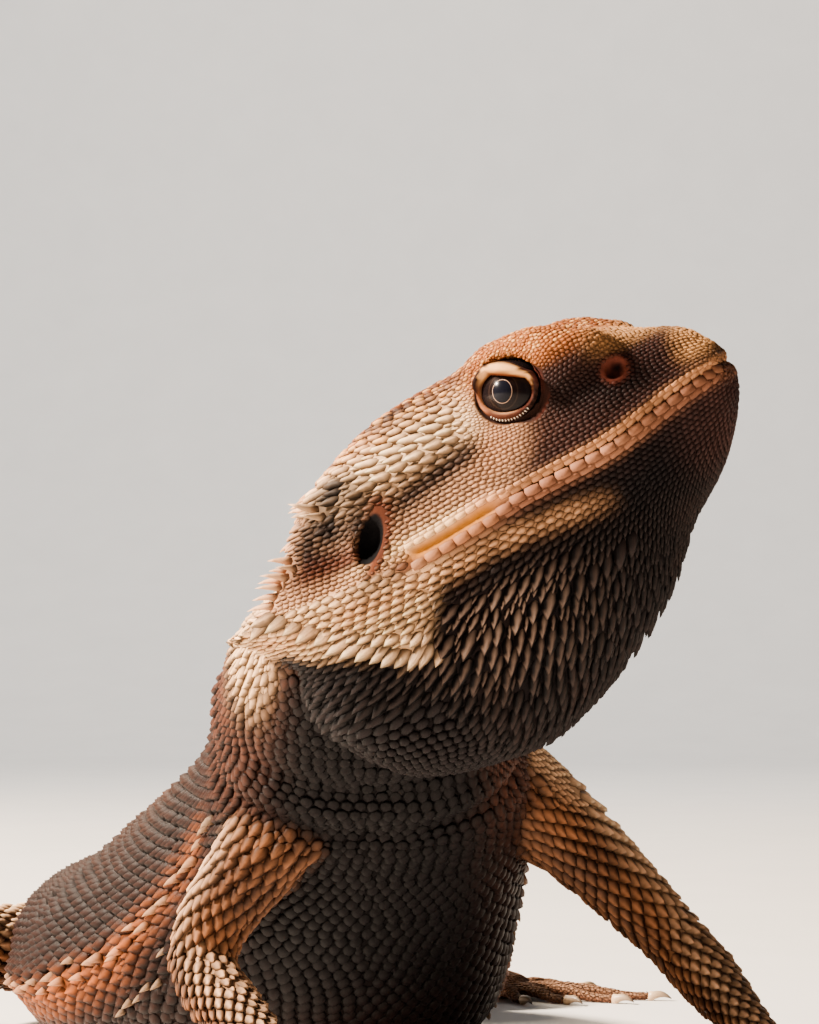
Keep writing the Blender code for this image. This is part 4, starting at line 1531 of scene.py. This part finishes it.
def layScales(name, chosen):
    chosen = np.flatnonzero(chosen)
    size, tiles = scales["size"][chosen], isTile[chosen]
    leafShare = keel[chosen][:, None, None]
    form = bead + (leaf - bead) * leafShare
    form[tiles] = tile
    halfWide = np.where(tiles, size * tileScale["halfWide"], size * wide[chosen])
    tileLong = size * tileScale["halfLong"] * scales["long"][chosen] * tileScale["longer"]
    halfLong = np.where(tiles, tileLong, halfWide * long[chosen])[:, None]
    height = size * np.where(tiles, tileScale["high"], high[chosen])
    pitch = np.radians(np.where(tiles, 0, lift[chosen]))[:, None]
    x = form[:, :, 0] * halfWide[:, None]
    y = form[:, :, 1] * halfLong
    z = form[:, :, 2] * height[:, None] - 0.03
    y, z = y * np.cos(pitch) - z * np.sin(pitch), z * np.cos(pitch) + (y + halfLong * 0.55) * np.sin(pitch)
    right = np.cross(lie[chosen], normal[chosen])
    points = inPlace(place[chosen], right, lie[chosen], normal[chosen], x, y, z)
    rise = np.clip(form[:, :, 2], 0, 1)
    # painted shade: each scale darker towards its rim, where it meets its neighbours and the skin
    shade = np.where(tiles[:, None], 0.4 + 0.6 * rise, 0.1 + 0.9 * rise**1.8)
    tip = ramp(form[:, :, 1], 0.4, 1.1) * leafShare[..., 0] * rise
    light = rng.uniform(0.8, 1.2, len(chosen)) * np.where(tiles, tileScale["light"], 1)
    own = colour[chosen] * light[:, None]
    own = blend(own, tones["snout"], flecks[chosen] * rng.uniform(0.3, 0.8, len(chosen)))
    own = blend(own, thornTone, scales["pale"][chosen])[:, None]
    tint = own * shade[..., None]
    # painted highlight: the raised tips of pointed scales lighter than their own tone
    tint = tint + (np.minimum(own * 1.6 + 0.006, 0.95) - tint) * (tip * 0.4)[..., None]
    keelHighlightLine = (np.abs(form[:, :, 0]) < 0.1) * ramp(form[:, :, 2], 0.35, 0.7) * keelHighlight[chosen][:, None]
    tint = tint + (keelHighlightTone - tint) * keelHighlightLine[..., None]
    return buildCoat(name, points, capFaces, tint, spot[chosen], form[:, :, :2])


def layThorns(name, chosen):
    chosen = np.flatnonzero(chosen)
    size = scales["size"][chosen][:, None, None]
    length = size * scales["long"][chosen][:, None, None]
    lean = np.radians(scales["lean"][chosen])[:, None, None]
    above, ahead = normal[chosen][:, None], lie[chosen][:, None]
    right = np.cross(lie[chosen], normal[chosen])[:, None]
    rise = np.tile(spine[:, 2], (len(chosen), 1))[..., None]
    bend = lean * (0.75 + 0.35 * np.clip(rise, 0, 1))
    axis = above * np.cos(bend) + ahead * np.sin(bend)
    flatWay = ahead * np.cos(lean) - above * np.sin(lean)
    x, y = spine[None, :, 0, None], spine[None, :, 1, None]
    across = x * size * 0.5 * right + y * size * 0.42 * flatWay
    sink = np.minimum(rise, 0) * size * 1.5 * above
    reach = np.clip(rise, 0, 1) * length
    points = place[chosen][:, None] + (axis * reach + across + sink - 0.05 * above) * mm
    own = colour[chosen] * rng.uniform(0.9, 1.15, len(chosen))[:, None]
    share = np.clip(0.2 + 0.7 * rise, 0, 0.85) * scales["pale"][chosen][:, None, None]
    # painted shade: each spine darker at its base
    light = 0.45 + 0.55 * np.clip(rise * 3 + 0.3, 0, 1)
    tint = (own[:, None] * (1 - share) + thornTone * share) * light
    patch = np.tile(spine[None, :, :2], (len(chosen), 1, 1))
    return buildCoat(name, points, spineFaces, tint, spot[chosen], patch)


neckEnd, tailStart = 45, 195  # millimetres along the body's line
isTrunk = onBody & (along >= neckEnd) & (along < tailStart)
isArm, isLeg = (
    np.isin(member, [members.index(limb + "_" + side) for side in pair]) for limb in ("arm", "leg")
)
parts = {
    "scales_face": onHead & (lip >= 0),
    "scales_beard": onHead & (lip < 0),
    "scales_neck": onBody & (along < neckEnd),
    "scales_back": isTrunk & (normal[:, 2] >= -0.1),
    "scales_belly": isTrunk & (normal[:, 2] < -0.1),
    "scales_tail": onBody & (along >= tailStart),
    "scales_arms": isArm,
    "scales_legs": isLeg,
}
coatPieces = [layScales(name, chosen & ~isSpine) for name, chosen in parts.items()]
coatPieces.append(layThorns("spines", isSpine))

lidBeads = {
    "turns": (216, 306, 6.5),
    "inside": 0.12,
    "ball": 0.6,
    "stand": 0.5,
    "size": (0.17, 0.2, 0.24),
    "pointed": 0.8,
}


def growLidBeads():
    # small pale pointed beads along the lower lid's outer edge
    places, aheads, normals = [], [], []
    for side in pair:
        gaze, rear, high = eyeAxes(side)
        for turn in np.radians(np.arange(*lidBeads["turns"])):
            outer = float(lidReach(np.array([turn]))[1][0]) - lidBeads["inside"]
            outward = math.cos(turn) * rear + math.sin(turn) * high
            angle = math.asin(outer / (eye["radius"] + lidBeads["ball"]))
            way = gaze * math.cos(angle) + outward * math.sin(angle)
            places.append(eyeMiddles[side] + way * (eye["radius"] + lidBeads["stand"]) * mm)
            normals.append(way)
            aheads.append(outward * math.cos(angle) - gaze * math.sin(angle))
    places, aheads, normals = np.array(places), np.array(aheads), np.array(normals)
    form = bead + (leaf - bead) * lidBeads["pointed"]
    x, y, z = (form[None, :, axis] * size for axis, size in enumerate(lidBeads["size"]))
    points = inPlace(places, np.cross(aheads, normals), aheads, normals, x, y, z)
    # painted shade: each bead darker at its base
    light = 0.45 + 0.55 * np.clip(form[:, 2], 0, 1)
    tint = beadTone * light[None, :, None] * np.ones((len(places), 1, 1))
    spots = triangleSpots[nearestOnSkin(places)[1]].mean(1)
    patches = np.tile(form[None, :, :2], (len(places), 1, 1))
    return buildCoat("lid_beads", points, capFaces, tint, spots, patches)


coatPieces.append(growLidBeads())

ball = {"bulge": 0.3, "bulgeReach": 2.1, "columns": 64, "rows": 40, "irisMap": 10}


def makeEyeball(side):
    # a sphere with its pole turned to the gaze, bulging a little there
    radius = eye["radius"]
    fine = {"segments": ball["columns"], "ring_count": ball["rows"]}
    bpy.ops.mesh.primitive_uv_sphere_add(radius=radius * mm, **fine)
    obj = bpy.context.object
    obj.name = obj.data.name = "eyeball_" + side
    gaze, rear, high = eyeAxes(side)
    sign = 1 if side == "left" else -1
    points = pointsOf(obj)
    across = np.hypot(points[:, 0], points[:, 1]) / mm
    swell = np.clip(1 - (across / ball["bulgeReach"]) ** 2, 0, 1) ** 1.5 * (points[:, 2] > 0)
    lens = 1 + ball["bulge"] / radius * swell
    placed = points[:, :1] * rear * sign + points[:, 1:2] * high + points[:, 2:] * gaze
    layer = obj.data.uv_layers[0]
    layer.name = "iris"
    corners = readAll(obj.data.loops, "vertex_index", 1, np.int32)[:, 0]
    spots = 0.5 + points[corners][:, :2] / mm / ball["irisMap"]
    layer.uv.foreach_set("vector", spots.astype(np.float32).ravel())
    setPoints(obj, placed * lens[:, None] + eyeMiddles[side])
    selectOnly(obj)
    bpy.ops.object.shade_smooth()
    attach(obj, "root")
    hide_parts("eye_" + side)
    return obj


eyeballs = [makeEyeball(side) for side in pair]

claw = {
    "rings": 7,
    "sides": 10,
    "arch": 0.2,
    "start": -0.15,
    "end": 0.97,
    "narrow": 0.8,
    "thick": 0.92,
    "base": 0.35,
}
clawTones = linearTones({"root": (196, 164, 128), "tip": (44, 34, 32)})
clawNames = [name for name in nodes if name.startswith("claw")]


def clawAxes(name):
    # base, length, thickness, and the ways forward, to the side and up of a claw's own solid
    _, limb, side = name.split("_")[:3]
    low, high = (np.array(corner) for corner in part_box(limb + "_" + side))
    mesh = np.array([tuple(vert.co) for vert in nodes[name].data.vertices])
    away = np.linalg.norm((mesh - (low + high) / 2)[:, :2], axis=1)
    near = away < np.quantile(away, claw["base"])
    base = mesh[near].mean(0)
    forward = mesh[away.argmax()] - base
    length = np.linalg.norm(forward)
    forward = forward / length
    aside = unit(np.cross(forward, [0, 0, 1]))
    up = np.cross(aside, forward)
    radius = np.linalg.norm((mesh[near] - base) @ np.array([aside, up]).T, axis=1).max() * claw["thick"]
    return base, length, radius, forward, aside, up


def makeClaws():
    points, faces, tints = [], [], []
    for name in clawNames:
        base, length, radius, forward, aside, up = clawAxes(name)
        rows, around, first = claw["rings"], claw["sides"], len(points)
        for ring in range(rows):
            share = claw["start"] + (claw["end"] - claw["start"]) * ring / (rows - 1)
            grown = max(share, 0)
            middle = base + forward * length * share
            middle = middle + up * length * claw["arch"] * math.sin(math.pi * grown) * 0.8
            wide = radius * (1 - grown) ** 0.75 + 0.02 * mm
            for turn in (2 * math.pi * n / around for n in range(around)):
                sideways = aside * math.cos(turn) * wide * claw["narrow"]
                points.append(middle + sideways + up * math.sin(turn) * wide)
            tints += [grown] * around
        faces += tubeFaces(rows, around, first)
        faces.append(tuple(first + n for n in reversed(range(around))))
        faces.append(tuple(first + (rows - 1) * around + n for n in range(around)))
    points = np.array(points)
    points[:, 2] = np.maximum(points[:, 2], 0.02 * mm)
    obj = meshPiece("claws", points, faces)
    share = np.array(tints)[:, None]
    setTint(obj, clawTones["root"] * (1 - share) + clawTones["tip"] * share)
    editWhole(obj, bpy.ops.mesh.normals_make_consistent, inside=False)
    bpy.ops.object.shade_smooth()
    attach(obj, "root")
    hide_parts(*clawNames)
    return obj


claws = makeClaws()
print("eyes and claws made")

# materials


def sumOf(operation, swapped=False):
    def method(self, other):
        return self.maker.maths(operation, *((other, self) if swapped else (self, other)))

    return method


class Wire:
    # a shader socket that takes part in plain sums
    def __init__(self, maker, socket):
        self.maker, self.socket = maker, socket

    __add__ = __radd__ = sumOf("ADD")
    __mul__ = __rmul__ = sumOf("MULTIPLY")
    __sub__, __rsub__ = sumOf("SUBTRACT"), sumOf("SUBTRACT", True)
    __truediv__, __rtruediv__ = sumOf("DIVIDE"), sumOf("DIVIDE", True)
    __pow__ = sumOf("POWER")


class Maker:
    # one material with its Principled shader
    def __init__(self, name):
        self.material = bpy.data.materials.new(name)
        self.material.use_nodes = True
        self.tree = self.material.node_tree
        self.surface = self.tree.nodes["Principled BSDF"]

    def put(self, socket, value):
        if isinstance(value, Wire):
            self.tree.links.new(value.socket, socket)
        elif isinstance(value, (tuple, np.ndarray)) and len(value) == 3 and socket.type == "RGBA":
            socket.default_value = (*value, 1)
        else:
            socket.default_value = value

    def node(self, kind, values=None, output=0, **settings):
        made = self.tree.nodes.new("ShaderNode" + kind)
        for key, value in settings.items():
            setattr(made, key, value)
        for key, value in (values or {}).items():
            self.put(made.inputs[key], value)
        return Wire(self, made.outputs[output])

    def maths(self, operation, *values):
        return self.node("Math", dict(enumerate(values)), operation=operation)

    def step(self, value, low, high):
        limits = {"Value": value, "From Min": low, "From Max": high}
        return self.node("MapRange", limits, interpolation_type="SMOOTHSTEP")

    def band(self, value, start, full, fall, end):
        return self.step(value, start, full) * (1 - self.step(value, fall, end))

    def mix(self, share, first, second, how="MIX"):
        return self.node("Mix", {0: share, 6: first, 7: second}, 2, data_type="RGBA", blend_type=how)

    def lit(self, tint, light, blueShare=1):
        # a tint made lighter or darker
        blue = light if blueShare == 1 else light * blueShare
        return self.mix(1.0, tint, self.node("CombineColor", {0: light, 1: light, 2: blue}), "MULTIPLY")

    def noise(self, size, detail=2.0):
        # features of this size in millimetres
        where = self.node("TexCoord", output=3)
        looks = {"Vector": where, "Scale": 1 / (size * mm), "Detail": detail, "Roughness": 0.6}
        return self.node("TexNoise", looks)

    def bump(self, height, strength, depth):
        return self.node("Bump", {"Height": height, "Strength": strength, "Distance": depth * mm})

    def finish(self, values, *pieces):
        for key, value in values.items():
            self.put(self.surface.inputs[key], value)
        for piece in pieces:
            piece.data.materials.clear()
            piece.data.materials.append(self.material)


hide = {
    "broad": 6.0,
    "fine": 0.9,
    "grit": 0.16,
    "dust": 0.15,
    "dustTone": (1.35, 1.2, 1.05),
    "bumpDepth": 0.06,
}


def hideMaterial(name, roughness, shine, grain, pieces):
    made = Maker(name)
    tint = made.node("Attribute", attribute_name="tint")
    broad, fine, grit = made.noise(hide["broad"], 3), made.noise(hide["fine"], 4), made.noise(hide["grit"], 2)
    shaded = made.lit(tint, 0.5 + broad * 0.4 + fine * 0.6, 0.97)
    dusted = made.mix(1.0, shaded, hide["dustTone"], "MULTIPLY")
    made.finish({
        "Base Color": made.mix(made.step(broad, 0.45, 0.75) * hide["dust"], shaded, dusted),
        "Roughness": roughness + fine * 0.3 - grit * 0.1,
        "Normal": made.bump(grit + fine * 1.5, grain, hide["bumpDepth"]),
        "Specular IOR Level": shine,
    }, *pieces)


hideMaterial("hide_under_scales", 0.65, 0.05, 0.5, [skin])
hideMaterial("scales", 0.46, 0.08, 0.35, coatPieces)

iris = {
    # distances from the pupil's middle, in millimetres: where a band starts, is full, falls and ends
    "narrow": 0.88,
    "pupil": (1.16, 1.24),
    "ring": (1.22, 1.25, 1.27, 1.31),
    "faintRing": (1.8, 1.9, 1.95, 2.05),
    "edge": (2.0, 2.4),
    "pupilTone": (0.004, 0.004, 0.007),
    "streakScale": 7.0,
}
irisTones = linearTones({
    "dark": (7, 5, 8),
    "light": (28, 18, 15),
    "ring": (176, 142, 120),
    "faintRing": (70, 54, 44),
    "edge": (16, 11, 12),
})


def eyeMaterial():
    made = Maker("eye")
    spot = made.node("UVMap", uv_map="iris")
    across, upward = (made.node("SeparateXYZ", {"Vector": spot}, n) - 0.5 for n in (0, 1))
    x, y = across * ball["irisMap"] / iris["narrow"], upward * ball["irisMap"]
    radius = (x**2 + y**2) ** 0.5
    around = made.maths("ARCTAN2", y, x)
    streakSpot = made.node("CombineXYZ", {"X": around * 3, "Y": radius * 0.5})
    streak = made.node("TexNoise", {"Vector": streakSpot, "Scale": iris["streakScale"], "Detail": 4.0})
    tone = made.mix(streak, irisTones["dark"], irisTones["light"])
    tone = made.mix(made.step(radius, *iris["pupil"]), iris["pupilTone"], tone)
    tone = made.mix(made.band(radius, *iris["ring"]) * (0.75 + streak * 0.3), tone, irisTones["ring"])
    tone = made.mix(made.band(radius, *iris["faintRing"]) * 0.2, tone, irisTones["faintRing"])
    tone = made.mix(made.step(radius, *iris["edge"]), tone, irisTones["edge"])
    made.finish({
        "Base Color": tone,
        "Roughness": 0.2 + streak * 0.06,
        "Specular IOR Level": 0.05,
        "Coat Weight": 0.09,
        "Coat Roughness": 0.02,
    }, *eyeballs)


def clawMaterial():
    made = Maker("horn")
    tint = made.node("Attribute", attribute_name="tint")
    streak, fine = made.noise(0.5, 3), made.noise(0.12, 2)
    made.finish({
        "Base Color": made.lit(tint, 0.7 + streak * 0.6),
        "Roughness": 0.3 + fine * 0.2,
        "Normal": made.bump(fine + streak, 0.2, 0.04),
    }, claws)


eyeMaterial()
clawMaterial()
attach(skin, "root")
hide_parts(*fleshNames)

# the view, the floor and the light, in metres but for the camera's place

view = {
    "from": (-148.6, -440.4, 53.0),
    "towards": (0.375, 0.927),
    "lens": 106.4,
    "sensor": 36,
    "shift": 0.174,
    "clip": (0.01, 20),
}
sweep = {"wide": 9.0, "near": -4.0, "bend": 1.7, "radius": 0.9, "high": 3.6, "steps": 17}
lights = {
    # place, what it lights, watts, size, colour
    "key": ((-0.84, 0.11, 0.67), (0, -0.1, 0.08), 96, 0.12, (1, 0.85, 0.69)),
    "fill": ((0.5, -1.0, 0.45), (0, -0.1, 0.06), 0.5, 0.8, (0.9, 0.94, 1)),
    "rim": ((-0.35, 0.75, 0.6), (0, -0.1, 0.1), 12, 0.2, (1, 0.82, 0.62)),
    "backdrop": ((0.3, 0.9, 1.6), (0.9, 2.3, 0.9), 48, 1.5, (0.92, 0.97, 1)),
}
sky = {"Color": (0.86, 0.92, 1.0, 1), "Strength": 0.06}


def put(name, data, place, turn):
    obj = bpy.data.objects.new(name, data)
    bpy.context.scene.collection.objects.link(obj)
    obj.location, obj.rotation_euler = place, turn
    return obj


def makeSweep():
    # the floor and the backdrop as one curved sheet across the view
    ahead = np.array([*view["towards"], 0])
    across = np.array([view["towards"][1], -view["towards"][0], 0])
    radius, half = sweep["radius"], sweep["wide"] / 2
    profile = [(sweep["near"], 0)]
    for turn in np.linspace(0, math.pi / 2, sweep["steps"]):
        profile.append((sweep["bend"] + radius * math.sin(turn), radius * (1 - math.cos(turn))))
    profile.append((sweep["bend"] + radius, sweep["high"]))
    edges = [(far, side, rise) for far, rise in profile for side in (-half, half)]
    points = [ahead * far + across * side + np.array([0, 0, rise]) for far, side, rise in edges]
    faces = [(2 * n, 2 * n + 1, 2 * n + 3, 2 * n + 2) for n in range(len(profile) - 1)]
    obj = meshPiece("floor", points, faces)
    selectOnly(obj)
    bpy.ops.object.shade_smooth()
    return obj


lens = bpy.data.cameras.new("view")
lens.sensor_width, lens.lens, lens.shift_y = view["sensor"], view["lens"], view["shift"]
lens.clip_start, lens.clip_end = view["clip"]
turn = (math.pi / 2, 0, -math.atan2(*view["towards"]))
bpy.context.scene.camera = put("view", lens, Vector(view["from"]) * mm, turn)

floor = makeSweep()
made = Maker("floor")
cloudy = made.noise(40.0, 2)
tone = made.mix(cloudy, linear((222, 216, 210)), linear((232, 226, 220)))
made.finish({"Base Color": tone, "Roughness": 0.7 + cloudy * 0.1}, floor)

for name, (place, target, watts, size, tone) in lights.items():
    lamp = bpy.data.lights.new(name, "AREA")
    lamp.energy, lamp.size, lamp.color = watts, size, tone
    put(name, lamp, place, (Vector(target) - Vector(place)).to_track_quat("-Z", "Y").to_euler())
world = bpy.data.worlds.new("studio")
bpy.context.scene.world = world
world.use_nodes = True
for key, value in sky.items():
    world.node_tree.nodes["Background"].inputs[key].default_value = value
print("floor, view and light made")
